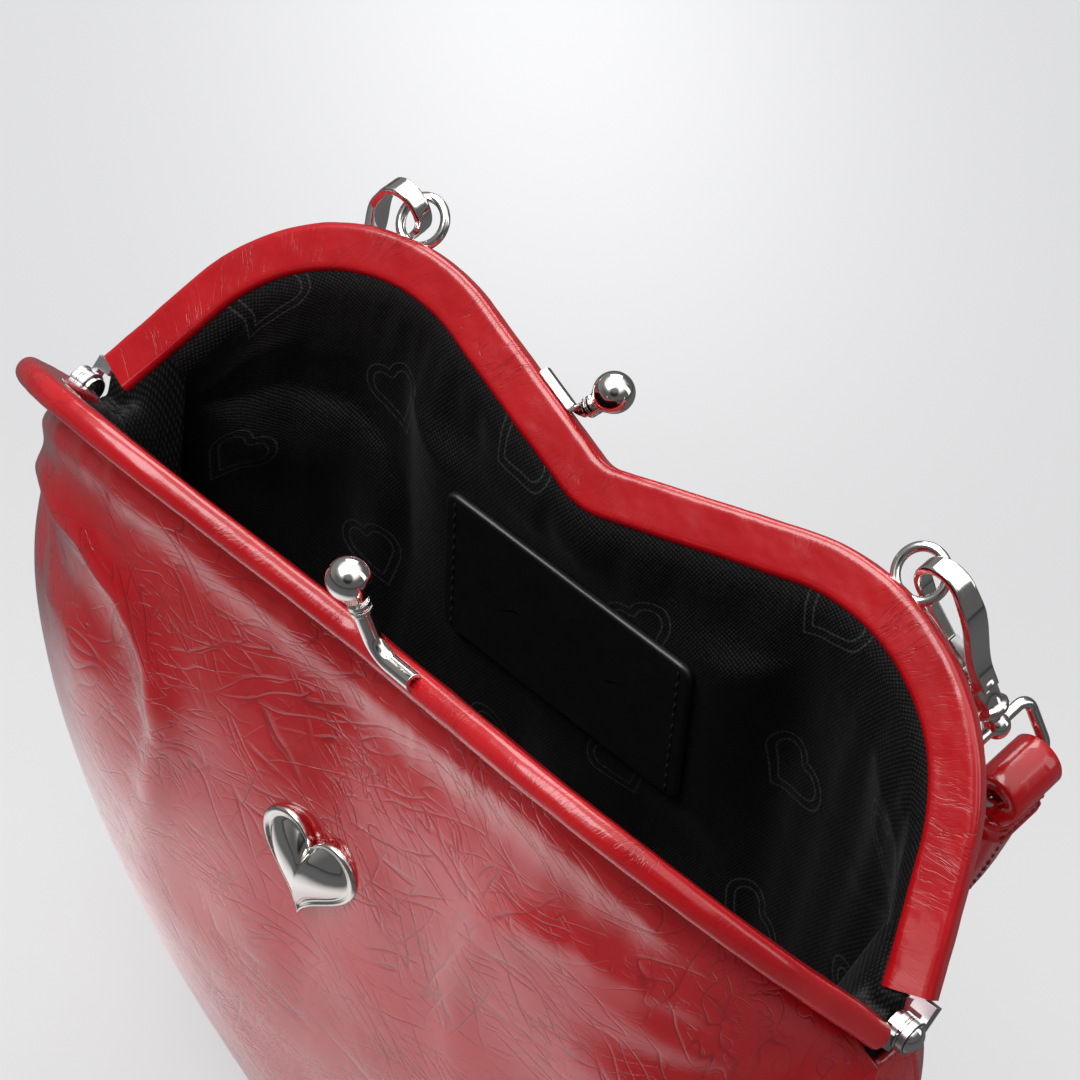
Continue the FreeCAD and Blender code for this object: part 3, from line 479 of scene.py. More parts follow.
# meshes, from points in millimetres
def pieceFrom(name, points, polygons, material, uv=None):
    mesh = bpy.data.meshes.new(name)
    mesh.from_pydata((np.asarray(points, float) * mm).tolist(), [], polygons)
    mesh.materials.append(material)
    mesh.polygons.foreach_set("use_smooth", [True] * len(mesh.polygons))
    if uv is not None:
        layer = mesh.uv_layers.new(name="cloth")
        corners = np.zeros(len(mesh.loops), np.int32)
        mesh.loops.foreach_get("vertex_index", corners)
        layer.data.foreach_set("uv", (np.asarray(uv, float) * mm)[corners].ravel())
    mesh.validate()
    piece = bpy.data.objects.new(name, mesh)
    scene.collection.objects.link(piece)
    return turnedOut(piece)


def turnedOut(piece):  # faces of a closed piece point outwards
    mesh = piece.data
    mesh.calc_loop_triangles()
    corners = np.array([t.vertices for t in mesh.loop_triangles])
    at = np.array([v.co for v in mesh.vertices])[corners]
    if np.einsum("ij,ij->i", at[:, 0], np.cross(at[:, 1], at[:, 2])).sum() < 0:
        mesh.flip_normals()
    return piece


def gridFaces(rows, columns, start=0, around=False, along=False):  # the last column or row may meet the first
    polygons = []
    for r in range(rows if along else rows - 1):
        here, below = start + r * columns, start + (r + 1) % rows * columns
        for c in range(columns if around else columns - 1):
            n = (c + 1) % columns
            polygons.append((here + c, here + n, below + n, below + c))
    return polygons


def shellPiece(name, outer, inner, material, uv=None):  # a sheet with a thickness, closed round its rim
    rows, columns = outer.shape[:2]
    count = rows * columns
    polygons = gridFaces(rows, columns) + [f[::-1] for f in gridFaces(rows, columns, count)]
    number = np.arange(count).reshape(rows, columns)
    rim = np.concatenate([number[:, 0], number[-1, 1:], number[-2::-1, -1], number[0, -2:0:-1]]).tolist()
    for one, other in zip(rim, rim[1:] + rim[:1]):
        polygons.append((one, other, other + count, one + count))
    points = np.concatenate([outer.reshape(-1, 3), inner.reshape(-1, 3)])
    flat = None if uv is None else np.concatenate([uv.reshape(-1, 2)] * 2)
    return pieceFrom(name, points, polygons, material, flat)


def ringPiece(name, rings, material, endless=False):  # closed rings joined in turn, with ends that are filled or meet
    rows, count = len(rings), len(rings[0])
    polygons = gridFaces(rows, count, 0, True, endless)
    if not endless:
        polygons += [tuple(range(count))[::-1], tuple(range((rows - 1) * count, rows * count))]
    return pieceFrom(name, np.concatenate(rings), polygons, material)


def wobble(points, scale, seed):  # smooth noise at places in millimetres
    flat = np.asarray(points, float).reshape(-1, 3) * scale + seed
    return np.array([noise.noise(Vector(p)) for p in flat]).reshape(np.shape(points)[:-1])


def unit(vectors):
    return vectors / (np.linalg.norm(vectors, axis=-1, keepdims=True) + 1e-9)


def runAlong(line):  # the distance along a line at each of its points
    return np.concatenate([[0], np.cumsum(np.linalg.norm(np.diff(line, axis=0), axis=1))])


def settled(piece, body, slot, stands=None):  # rides a body, and may stand for a node
    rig.ride(piece, body)
    if stands:
        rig.replaces(piece, stands)
    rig.slot(piece, slot)


# Geometry Nodes: trees with named inputs, run on a line and made a plain mesh
def newTree(name, inputs):
    tree = bpy.data.node_groups.new(name, "GeometryNodeTree")
    tree.is_modifier = True
    for way in ("INPUT", "OUTPUT"):
        tree.interface.new_socket("Geometry", in_out=way, socket_type="NodeSocketGeometry")
    for label, kind in inputs.items():
        tree.interface.new_socket(label, in_out="INPUT", socket_type="NodeSocket" + kind)
    web = Web(tree)
    start = web.add("NodeGroupInput")
    return tree, web, {label: start.also(label) for label in ("Geometry", *inputs)}


def endTree(web, shape, material):
    solid = web.shape("RealizeInstances", {0: shape})
    web.add("NodeGroupOutput", {0: web.shape("SetMaterial", {"Geometry": solid, "Material": material})})


def lineObject(points):  # points in millimetres
    mesh = bpy.data.meshes.new("line")
    edges = [(n, n + 1) for n in range(len(points) - 1)]
    mesh.from_pydata((np.asarray(points, float) * mm).tolist(), edges, [])
    piece = bpy.data.objects.new("line", mesh)
    scene.collection.objects.link(piece)
    return piece


def grown(name, tree, line, values):
    modifier = line.modifiers.new("grow", "NODES")
    modifier.node_group = tree
    for item in tree.interface.items_tree:
        if item.in_out == "INPUT" and item.name in values:
            modifier[item.identifier] = values[item.name]
    shape = line.evaluated_get(bpy.context.evaluated_depsgraph_get())
    mesh = bpy.data.meshes.new_from_object(shape)
    mesh.name = name
    bpy.data.objects.remove(line)
    piece = bpy.data.objects.new(name, mesh)
    scene.collection.objects.link(piece)
    return turnedOut(piece)


sweepSet = Settings(cornerSteps=8, around=56, gatherScale=95.0)


def sweepTree():  # leather drawn round a line that lies flat, then leant to its place
    floats = ("Width", "Depth", "Corner", "Step", "End Round", "End Draw", "Level", "Lean")
    tree, web, given = newTree("drawn_leather", {
        **dict.fromkeys(floats, "Float"), "Place": "Vector", "Pucker": "Float", "Material": "Material"})
    named = {"data_type": "FLOAT", "domain": "POINT"}
    line = web.shape("MeshToCurve", {0: given["Geometry"]})
    line = web.shape("ResampleCurve", {"Curve": line, "Length": given["Step"]}, mode="LENGTH")
    run = web.shape("SplineParameter", out="Length")
    whole = web.shape("SplineLength", out="Length")
    line = web.shape("StoreNamedAttribute", {"Geometry": line, "Name": "along", "Value": run}, **named)
    line = web.shape("SetCurveNormal", {0: line}, mode="Z_UP")
    near = web.maths("MINIMUM", run, whole - run) / given["End Round"]
    near = 1 - web.maths("MINIMUM", near, 1.0)
    swell = 1 - (1 - web.maths("SQRT", web.maths("MAXIMUM", 1 - near * near, 0.0))) * given["End Draw"]
    line = web.shape("SetCurveRadius", {"Curve": line, "Radius": swell})
    edge = web.shape("CurvePrimitiveQuadrilateral", {"Width": given["Width"], "Height": given["Depth"]})
    edge = web.shape("FilletCurve", {"Curve": edge, "Count": sweepSet.cornerSteps, "Radius": given["Corner"]},
                     mode="POLY")
    edge = web.shape("ResampleCurve", {"Curve": edge, "Count": sweepSet.around}, mode="COUNT")
    turn = web.shape("SplineParameter", out="Length")
    edge = web.shape("StoreNamedAttribute", {"Geometry": edge, "Name": "around", "Value": turn}, **named)
    body = web.shape("CurveToMesh", {"Curve": line, "Profile Curve": edge, "Fill Caps": True})
    gather = web.noise(web.shape("InputPosition"), sweepSet.gatherScale, 3.0) - 0.5
    out = web.scaled(web.shape("InputNormal"), gather * given["Pucker"])
    body = web.shape("SetPosition", {"Geometry": body, "Offset": out})
    body = web.shape("SetShadeSmooth", {"Geometry": body})
    body = web.shape("Transform", {"Geometry": body, "Translation": web.joined({2: given["Level"]})})
    body = web.shape("Transform", {"Geometry": body, "Rotation": web.joined({0: given["Lean"]}),
                                   "Translation": given["Place"]})
    endTree(web, body, given["Material"])
    return tree


stitchSet = Settings(share=0.72, thread=0.42, seed=4, lean=0.12, sink=-0.7, rise=1.3, steps=6)


def stitchTree():  # short threads along a line, on a face that Side lies in
    s = stitchSet
    tree, web, given = newTree("stitch_row", {
        **dict.fromkeys(("Pitch", "Length", "Thread"), "Float"), "Side": "Vector", "Seed": "Int",
        "Material": "Material"})
    line = web.shape("MeshToCurve", {0: given["Geometry"]})
    line = web.shape("ResampleCurve", {"Curve": line, "Length": given["Pitch"]}, mode="LENGTH")
    ahead = web.shape("InputTangent")
    turn = web.add("FunctionNodeAxesToRotation", {"Primary Axis": ahead, "Secondary Axis": given["Side"]},
                   primary_axis="X", secondary_axis="Y")
    lean = web.add("FunctionNodeRandomValue", {2: -s.lean, 3: s.lean, "Seed": given["Seed"]}, 1,
                   data_type="FLOAT")
    turn = web.add("FunctionNodeRotateRotation", {0: turn, 1: web.joined({2: lean})}, rotation_space="LOCAL")
    start, end = (web.joined({0: given["Length"] * half, 2: given["Thread"] * s.sink}) for half in (-0.5, 0.5))
    middle = web.joined({2: given["Thread"] * s.rise})
    bow = web.shape("CurveQuadraticBezier", {"Resolution": s.steps, "Start": start, "Middle": middle, "End": end})
    section = web.shape("CurvePrimitiveCircle", {"Resolution": s.steps, "Radius": given["Thread"] * 0.5})
    thread = web.shape("CurveToMesh", {"Curve": bow, "Profile Curve": section, "Fill Caps": True})
    thread = web.shape("SetShadeSmooth", {"Geometry": thread})
    row = web.shape("InstanceOnPoints", {"Points": line, "Instance": thread, "Rotation": turn})
    endTree(web, row, given["Material"])
    return tree


drawnLeather = sweepTree()
stitchRow = stitchTree()


def stitches(name, line, pitch, side, material):
    return grown(name, stitchRow, lineObject(line), {
        "Pitch": pitch * mm, "Length": pitch * stitchSet.share * mm, "Thread": stitchSet.thread * mm,
        "Side": tuple(side), "Seed": stitchSet.seed, "Material": material})


# heart line of the frames, and their leather covers
frameSet = Settings(dipHeight=38.2, dipTurn=math.radians(16.4), dipRound=12.0, lobe=38.0, armTurn=math.radians(70.2),
    armEnd=(90.4, 4.8), open=math.radians(40.0), barMid=2.5, dipPoints=40, lobePoints=300)


def heartHalf(out):  # right half from the dip to the arm's end, set out from the bar's middle
    s = frameSet
    rise = np.array((math.cos(s.dipTurn), math.sin(s.dipTurn)))
    fall = np.array((math.cos(s.armTurn), -math.sin(s.armTurn)))
    riseOut = np.array((-rise[1], rise[0]))
    fallOut = np.array((-fall[1], fall[0]))
    dip = np.array((0.0, s.dipHeight))
    across = np.array(s.armEnd) - dip
    corner = (across[0] * fall[1] - across[1] * fall[0]) / (rise[0] * fall[1] - rise[1] * fall[0])
    run = corner - s.lobe * math.tan((s.dipTurn + s.armTurn) / 2)
    centre = dip + rise * run - riseOut * s.lobe
    dipCentre = np.array((0.0, s.dipHeight + s.dipRound / math.cos(s.dipTurn)))
    dipArc = [dipCentre + (s.dipRound - out) * np.array((math.sin(a), -math.cos(a)))
              for a in np.linspace(0, s.dipTurn, s.dipPoints)]
    lobeArc = [centre + (s.lobe + out) * np.array((math.sin(a), math.cos(a)))
               for a in np.linspace(-s.dipTurn, s.armTurn, s.lobePoints)]
    return np.array(dipArc + lobeArc + [np.array(s.armEnd) + fallOut * out])


def heartAt(out, share):  # share runs from the left arm's end to the right one's
    half = heartHalf(out)
    line = np.concatenate([(half * (-1, 1))[:0:-1], half])
    run = runAlong(line)
    want = np.asarray(share) * run[-1]
    return np.interp(want, run, line[:, 0]), np.interp(want, run, line[:, 1])


def opened(side, x, s, n):  # a place of a closed frame, in the open one; side 1 is the back
    c, d = math.cos(frameSet.open), math.sin(frameSet.open)
    return np.stack(np.broadcast_arrays(x, side * (n * c + s * d), s * c - n * d), -1)


coverSet = Settings(width=8.6, depth=4.6, step=0.6, pucker=0.5, points=500,
    back=Settings(corner=1.35, endRound=1.3, endDraw=0.3), front=Settings(corner=2.15, endRound=3.6, endDraw=0.5))


def frameCover(side, name):
    s, end = coverSet, coverSet[name]
    x, up = heartAt(0.0, np.linspace(0, 1, s.points))
    cover = grown(name + "_frame_leather", drawnLeather, lineObject(np.stack([x, up, x * 0], 1)), {
        "Width": s.width * mm, "Depth": s.depth * mm, "Corner": end.corner * mm, "Step": s.step * mm,
        "End Round": end.endRound * mm, "End Draw": end.endDraw, "Pucker": s.pucker * mm,
        "Level": -side * frameSet.barMid * mm, "Lean": math.pi / 2 - side * frameSet.open,
        "Place": (0.0, 0.0, 0.0), "Material": redBar})
    settled(cover, name + "_frame", "red_leather", name + "_frame_cover")


for side, name in sides:
    frameCover(side, name)
print("frame covers drawn")

# the bag: panels from the frames to a heart shaped border, gussets between the borders
bagSet = Settings(threadIn=4.6, setOut=3.7, border=((93, -5), (111, -56), (17, -107), (0, -113)), sideDepth=4.5,
    baseDepth=22.0, fullShare=0.7, upperBulge=10.0, lowerBulge=13.0, leather=1.2, liningIn=2.2, lining=0.6, tuck=1.8,
    roll=1.3, rollTurn=(18, 110, 6), topEase=2.0, across=220, down=84)
blendSet = Settings(free=4.5, still=19.0)
shares = np.linspace(0, 1, bagSet.across)
downs = np.linspace(0, 1, bagSet.down)


def frameBlend(piece, side, slot, stands=None):  # turns with the frame at its edge, less and less away from its plane
    away = np.array((0.0, side * math.cos(frameSet.open), -math.sin(frameSet.open))) * mm
    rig.blend(piece, "bag", "back_frame" if side > 0 else "front_frame",
             start=tuple(away * blendSet.still), end=tuple(away * blendSet.free))
    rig.slot(piece, slot)
    if stands:
        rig.replaces(piece, stands)


def cubic(t, points):
    return sum(p * c for p, c in zip(((1 - t) ** 3, 3 * (1 - t) ** 2 * t, 3 * (1 - t) * t ** 2, t ** 3), points))


def borderAt(t):
    x, z = (cubic(t, axis) for axis in zip(*bagSet.border))
    grow = np.sin(math.pi / 2 * np.minimum(1, t / bagSet.fullShare))
    return x, z, bagSet.sideDepth + (bagSet.baseDepth - bagSet.sideDepth) * grow


def panelAt(side, share, down):  # share goes from left to right, down from the frame to the border
    share, down = np.broadcast_arrays(share, down)
    x, s = heartAt(-bagSet.threadIn, share)
    top = opened(side, x, s, bagSet.setOut)
    x, z, depth = borderAt(1 - np.abs(2 * share - 1))
    low = np.stack([np.where(share > 0.5, x, -x), side * depth, z], -1)
    swell = np.zeros_like(low)
    swell[..., 1] = side * np.sin(math.pi * share)
    upper = top * 2 / 3 + low / 3 + swell * bagSet.upperBulge
    lower = top / 3 + low * 2 / 3 + swell * bagSet.lowerBulge
    return cubic(down[..., None], (top, upper, lower, low))


def outwards(grid, side):
    normal = unit(np.cross(np.gradient(grid, axis=0), np.gradient(grid, axis=1)))
    return normal * np.sign(np.median(normal[..., 1])) * side


def runDown(grid):  # millimetres down from the frame, along the surface
    step = np.linalg.norm(np.diff(grid, axis=1), axis=2)
    return np.concatenate([np.zeros((len(grid), 1)), np.cumsum(step, axis=1)], axis=1)


def middlePlace(side, drop):  # a place on a panel's middle line, so far down from the frame
    line = panelAt(side, np.array((0.5, 0.5))[:, None], np.linspace(0, 1, 400)[None, :])
    run = runDown(line)[0]
    return np.array([np.interp(drop, run, line[0, :, k]) for k in range(3)])


badgeSet = Settings(drop=47.0, width=21.0, height=19.0, seat=0.7, flat=15.0, points=160, profile=((0.96, -0.6),
    (1.0, -0.3), (1.02, 0.4), (1.015, 0.8), (0.99, 1.1), (0.955, 1.2), (0.92, 1.1), (0.895, 0.85), (0.87, 0.72),
    (0.845, 0.8), (0.8, 1.15), (0.7, 1.85), (0.58, 2.5), (0.44, 3.0), (0.3, 3.3), (0.16, 3.46), (0.03, 3.5)))
badgePlace = middlePlace(-1, badgeSet.drop)
badgeUp = unit(middlePlace(-1, badgeSet.drop - 1) - middlePlace(-1, badgeSet.drop + 1))
badgeOut = np.cross((1.0, 0.0, 0.0), badgeUp)


def dentAlong(grid, line, wide):  # 1 on a line of x and z, fading away from it, and the distance, signed by its side
    spot = grid[..., (0, 2)]
    nearest = np.full(spot.shape[:-1], 1e9)
    hand = np.zeros(spot.shape[:-1])
    for a, b in zip(line, line[1:]):
        a, b = np.array(a, float), np.array(b, float)
        along = np.clip(((spot - a) @ (b - a)) / ((b - a) @ (b - a)), 0, 1)
        off = spot - (a + along[..., None] * (b - a))
        far = np.linalg.norm(off, axis=-1)
        turn = (b - a)[0] * off[..., 1] - (b - a)[1] * off[..., 0]
        hand = np.where(far < nearest, np.sign(turn), hand)
        nearest = np.minimum(far, nearest)
    return np.exp(-(nearest / wide) ** 2), hand * nearest


def ripples(x, run, across, down, seed):  # noise drawn out down a sheet
    return wobble(np.stack([x * across, run * down, x * 0], -1), 1.0, seed)


gatherSet = Settings(wide=(0.16, 0.02), wideFade=15.0, narrow=(0.34, 0.03), narrowRise=0.5, narrowFade=9.0, roll=1.4,
    rollDown=5.0, rollWide=4.5, swellScale=0.022, swell=2.2, dentScale=0.06, dent=0.6, fullRun=32.0)
foldSet = Settings(line=((-88, 0), (-72, 8), (-56, 10.5), (-45, 6), (-37.5, -4), (-34, -18), (-36, -36), (-44, -58)),
    crest=2.2, crestWide=4.0, fall=1.8, fallWide=24.0, much={1: 0.3, -1: 1.0}, end=94, endFade=16, topFade=8.0,
    foot=-56, footFade=44)
fanSet = Settings(start=(92, 2), count=8, strayScale=0.03, stray=3, reach=34, bare=7, clearFade=16, rise=0.7,
    topFade=6.0)


def leatherLift(side, grid, run):  # how far the leather stands out from its plain shape
    x, z = grid[..., 0], grid[..., 2]
    s = gatherSet
    lift = ripples(x, run, *s.wide, 3.0 + side) * np.exp(-run / s.wideFade)
    lift += ripples(x, run, *s.narrow, 9.0) * s.narrowRise * np.exp(-run / s.narrowFade)
    lift += s.roll * np.exp(-((run - s.rollDown) / s.rollWide) ** 2)
    swell = wobble(grid, s.swellScale, 5.0 + side) * s.swell + wobble(grid, s.dentScale, 7.0) * s.dent
    lift += swell * np.sin(math.pi * downs)[None, :]
    s = foldSet
    for hand, _ in hands:  # the fold from each hinge that the leather breaks along
        crest, off = dentAlong(grid, [(-at * hand, level) for at, level in s.line], s.crestWide)
        fall = np.clip(off * hand / s.fallWide, 0, 1)
        much = s.much[hand] * np.clip((s.end - np.abs(x)) / s.endFade, 0, 1)
        much = much * np.minimum(1, run / s.topFade) * np.clip((z - s.foot) / s.footFade, 0, 1)
        lift += much * (s.crest * crest - s.fall * np.sin(math.pi * fall))
    s = fanSet  # gathers that fan out from each hinge
    beside, below = s.start[0] - np.abs(x), s.start[1] - z
    far = np.hypot(beside, below)
    fan = np.cos(np.arctan2(below, beside) * s.count + wobble(grid, s.strayScale, 15.0) * s.stray)
    fan = fan * np.exp(-(far / s.reach) ** 2) * np.clip((far - s.bare) / s.clearFade, 0, 1)
    lift += fan * s.rise * np.minimum(1, run / s.topFade)
    if side < 0:  # flat under the badge
        far = np.hypot(x - badgePlace[0], z - badgePlace[2])
        lift *= 1 - np.exp(-(far / badgeSet.flat) ** 4)
    return lift * np.clip(run[:, -1:] / gatherSet.fullRun, 0, 1)


def tuckRows(side, level):  # the sheet's top edge, drawn up into the frame's cover
    rows = [heartAt(-bagSet.threadIn + k, shares) for k in (bagSet.tuck, bagSet.tuck / 2)]
    return np.stack([opened(side, x, s, level) for x, s in rows], 1)


def leatherPanel(side, name):
    grid = panelAt(side, shares[:, None], downs[None, :])
    run = runDown(grid)
    lift = leatherLift(side, grid, run) * np.minimum(1, run / bagSet.topEase)
    grid = grid + outwards(grid, side) * lift[..., None]
    normal = outwards(grid, side)
    edge = grid[:, -1] - grid[:, -2]
    edge = unit(edge - normal[:, -1] * np.einsum("ij,ij->i", edge, normal[:, -1])[:, None])
    turns = np.radians(np.linspace(*bagSet.rollTurn))
    rollNormal = np.stack([normal[:, -1] * math.cos(a) + edge * math.sin(a) for a in turns], 1)
    roll = (grid[:, -1] - normal[:, -1] * bagSet.roll)[:, None] + rollNormal * bagSet.roll
    outer = np.concatenate([tuckRows(side, bagSet.setOut), grid, roll], 1)
    normal = np.concatenate([np.repeat(normal[:, :1], 2, axis=1), normal, rollNormal], 1)
    piece = shellPiece(name + "_leather", outer, outer - normal * bagSet.leather, redLeather)
    frameBlend(piece, side, "red_leather", name + "_panel")


for side, name in sides:
    leatherPanel(side, name)


def cutSize(grid):  # width and length that a sheet is cut to, and its area, in metres
    across = np.linalg.norm(np.diff(grid, axis=0), axis=2).sum(0).max()
    down = np.linalg.norm(np.diff(grid, axis=1), axis=2).sum(1).max()
    cross = np.cross(grid[1:, 1:] - grid[:-1, :-1], grid[:-1, 1:] - grid[1:, :-1])
    area = np.linalg.norm(cross, axis=2).sum() / 2
    return {"flat": (across * mm, min(down, area / across * 2) * mm), "area": area * mm * mm}


gussetSet = Settings(span=(0.0005, 0.999, 120), across=28, inset=1.6, liningInset=2.6, crown=3.0, narrowest=0.6,
    crumple=0.05, rollTurn=(20, 100, 5), uvStart=200)


def gussetAt(hand, t, w, inset):
    x, z, depth = borderAt(t)
    x1, z1, _ = borderAt(t + 1e-4)
    x0, z0, _ = borderAt(t - 1e-4)
    ahead = unit(np.stack([x1 - x0, z1 - z0], 1))
    out = np.stack([-ahead[:, 1], ahead[:, 0]], 1)
    puff = gussetSet.crown * np.sin(math.pi * w)[None, :] * t[:, None]
    grid = np.zeros((len(t), len(w), 3))
    grid[..., 0] = hand * (x[:, None] + out[:, :1] * puff)
    grid[..., 1] = np.maximum(depth - inset, gussetSet.narrowest)[:, None] * (2 * w - 1)[None, :]
    grid[..., 2] = z[:, None] + out[:, 1:] * puff
    return grid, np.stack([hand * out[:, 0], out[:, 0] * 0, out[:, 1]], 1)


def gussetPieces(hand, name):
    s = gussetSet
    t, w = np.linspace(*s.span), np.linspace(0, 1, s.across)
    grid, face = gussetAt(hand, t, w, s.inset)
    lift = wobble(grid, s.crumple, 11.0 + hand) * np.sin(math.pi * w)[None, :] * t[:, None]
    outer = grid + face[:, None] * lift[..., None]
    turned = np.radians(np.linspace(*s.rollTurn))
    ends = []
    for sign, edge in ((-1, outer[:, 0]), (1, outer[:, -1])):
        beside = np.array((0.0, sign, 0.0))
        ends.append([edge + (face * (math.cos(a) - 1) + beside * math.sin(a)) * bagSet.roll for a in turned])
    outer = np.concatenate([np.stack(ends[0][::-1], 1), outer, np.stack(ends[1], 1)], 1)
    skin = shellPiece(name + "_gusset_leather", outer, outer - face[:, None] * bagSet.leather, redLeather)
    settled(skin, "bag", "red_leather", name + "_gusset")
    inner, face = gussetAt(hand, t, w, s.liningInset)
    inner = inner - face[:, None] * bagSet.liningIn
    uv = np.stack([inner[..., 1] + s.uvStart, inner[..., 2]], -1)
    cloth = shellPiece(name + "_gusset_cloth", inner, inner - face[:, None] * bagSet.lining, liningCloth, uv)
    settled(cloth, "bag", "black_lining", name + "_gusset_lining")
    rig.sheet(cloth, held="stretched", rests_on=[skin], **cutSize(inner))


for hand, name in hands:
    gussetPieces(hand, name)
print("leather bag lofted")

# lining and its label
labelSet = Settings(width=56.0, height=34.0, drop=14.0, corner=2.2, depth=1.4, rise=3.2, around=132, seamIn=2.4,
    seamEnd=2.2, seamPoints=30, pitch=2.6, proud=0.02, profile=((16.9, 0.0), (12, 0.0), (6, 0.0), (2, 0.0), (0.15, 0.0),
    (0.0, 0.15), (0.0, 0.85), (0.12, 1.15), (0.4, 1.35), (0.9, 1.4), (2.0, 1.4), (4.5, 1.4), (8, 1.4), (12, 1.4),
    (16.9, 1.4)))
labelTop, labelFoot = (middlePlace(1, run) for run in (labelSet.drop, labelSet.drop + labelSet.height))
labelDown = unit(labelFoot - labelTop)
labelOut = np.cross(labelDown, (1.0, 0.0, 0.0))
labelOut *= np.sign(labelOut[1])


def onLabel(x, down, depth):  # a place x from the label's middle line and down from its top, inside the back panel
    x, down, depth = np.broadcast_arrays(x, down, depth)
    return labelTop + x[:, None] * np.array((1.0, 0, 0)) + down[:, None] * labelDown - depth[:, None] * labelOut


looseSet = Settings(wide=(0.05, 0.010), wideRise=3.4, narrow=(0.12, 0.025), narrowRise=1.0, rest=2.0, topFade=10.0,
    endFade=4, pucker=(0.3, 0.04), puckerRise=0.7, puckerRest=0.4, puckerStart=3.0, puckerFade=14.0, behind=0.1,
    margin=1, beside=16.0, above=10.0, below=14.0)


def liningAt(side, grid, run, lift):  # folds of the loose cloth, inwards from the leather
    s = looseSet
    x = grid[..., 0]
    fold = ripples(x, run, *s.wide, 21.0 + side) * s.wideRise
    fold = fold + ripples(x, run, *s.narrow, 31.0 + side) * s.narrowRise
    ends = np.clip(np.sin(math.pi * shares) * s.endFade, 0, 1)[:, None]
    fold = (fold + s.rest) * np.clip(run / s.topFade, 0, 1) * ends
    pucker = np.maximum(ripples(x, run, *s.pucker, 41.0) * s.puckerRise + s.puckerRest, 0)
    fold = fold + pucker * np.clip(run / s.puckerStart, 0, 1) * np.exp(-run / s.puckerFade)
    fold = np.maximum(fold, 0) + np.maximum(-lift, 0)
    if side > 0:  # it lies flat behind the label
        off = grid - labelTop
        flat = off @ labelOut + labelSet.rise - s.behind - bagSet.liningIn - bagSet.lining
        down = off @ labelDown
        beside = np.clip((np.abs(x) - labelSet.width / 2 - s.margin) / s.beside, 0, 1)
        above = np.clip((-s.margin - down) / s.above, 0, 1)
        below = np.clip((down - labelSet.height - s.margin) / s.below, 0, 1)
        loose = np.maximum(np.maximum(beside, above), below)
        loose = loose * loose * (3 - 2 * loose)
        fold = fold * loose + flat * (1 - loose)
    return np.maximum(fold, 0)


def liningPanel(side, name):
    grid = panelAt(side, shares[:, None], downs[None, :])
    run = runDown(grid)
    normal = outwards(grid, side)
    fold = liningAt(side, grid, run, leatherLift(side, grid, run))
    outer = grid - normal * (bagSet.liningIn + fold)[..., None]
    outer = np.concatenate([tuckRows(side, bagSet.setOut - bagSet.liningIn), outer], 1)
    normal = np.concatenate([np.repeat(normal[:, :1], 2, axis=1), normal], 1)
    arc = runAlong(grid[:, 0])
    across = grid[..., 0] * 0.5 + (arc - arc[-1] / 2)[:, None] * 0.5
    across = np.concatenate([np.repeat(across[:, :1], 2, axis=1), across], 1)
    rise = np.linalg.norm(np.diff(outer[:, :3], axis=1), axis=2)
    up = np.concatenate([np.stack([rise.sum(1), rise[:, 1]], 1), -run], 1)
    piece = shellPiece(name + "_cloth", outer, outer - normal * bagSet.lining, liningCloth,
                       np.stack([across, up], -1))
    frameBlend(piece, side, "black_lining", name + "_lining")
    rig.sheet(piece, held="hung", rests_on=[name + "_frame_leather"], **cutSize(outer))


for side, name in sides:
    liningPanel(side, name)

cornerSet = Settings(reach=0.07, level=1.0, inset=1.2, sag=0.45, dive=1.3, ear=(90.8, 3.4, 3.2), end=(91.0, 3.8, -5.0),
    rows=26, endRows=3, fold=(0.05, 2.2), foldMost=3.0, foldShare=0.4, lean=0.2, uvStart=(311, 40), free=0.006)


def cornerCloth(hand, side, name):  # half of the gathered cloth that joins the two linings behind a hinge
    s = cornerSet
    along = np.linspace(0, s.reach, s.rows)
    x, up = heartAt(s.inset - bagSet.threadIn, along if hand < 0 else 1 - along)
    top = opened(side, x, up, s.level)
    more = np.linspace(0, 1, s.endRows + 1)[:-1, None]
    ear, end = (np.array(s[key]) * (hand, side, 1) for key in ("ear", "end"))
    top = np.concatenate([end * (1 - more) + ear * more, ear * (1 - more) + top[0] * more, top])
    inner = np.concatenate([np.zeros(2 * s.endRows), along / s.reach])[:, None]
    u = np.linspace(0, 0.5, s.rows)
    grid = top[:, None] * (1 - u)[None, :, None] + (top * (1, -1, 1))[:, None] * u[None, :, None]
    apart = 2 * np.abs(top[:, 1:2])
    at = np.broadcast_arrays(top[:, :1] * s.fold[0], side * (1 - 2 * u[None, :]) * s.fold[1], hand)
    fold = wobble(np.stack(at, -1), 1.0, 51.0) * np.minimum(s.foldMost, apart * s.foldShare)
    bow = np.sin(math.pi * u)[None, :] * ((s.sag + s.dive * inner ** 3) * apart + fold)
    grid[..., 2] -= bow
    grid[..., 0] -= hand * bow * s.lean
    normal = np.cross(np.gradient(grid, axis=0), np.gradient(grid, axis=1))
    normal = unit(normal) * np.sign(np.median(normal[..., 2]))
    uv = np.stack([grid[..., 1] + s.uvStart[0], grid[..., 0] + s.uvStart[1] * hand], -1)
    piece = shellPiece(name, grid, grid - normal * bagSet.lining, liningCloth, uv)
    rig.blend(piece, "bag", "back_frame" if side > 0 else "front_frame",
             start=(0.0, 0.0, 0.0), end=(0.0, side * s.free, 0.0))
    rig.slot(piece, "black_lining")
    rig.sheet(piece, held="gathered", rests_on=[name.split("_")[0] + "_gusset_cloth"], **cutSize(grid))


for hand, one in hands:
    for side, other in sides:
        cornerCloth(hand, side, f"{one}_{other}_corner_cloth")


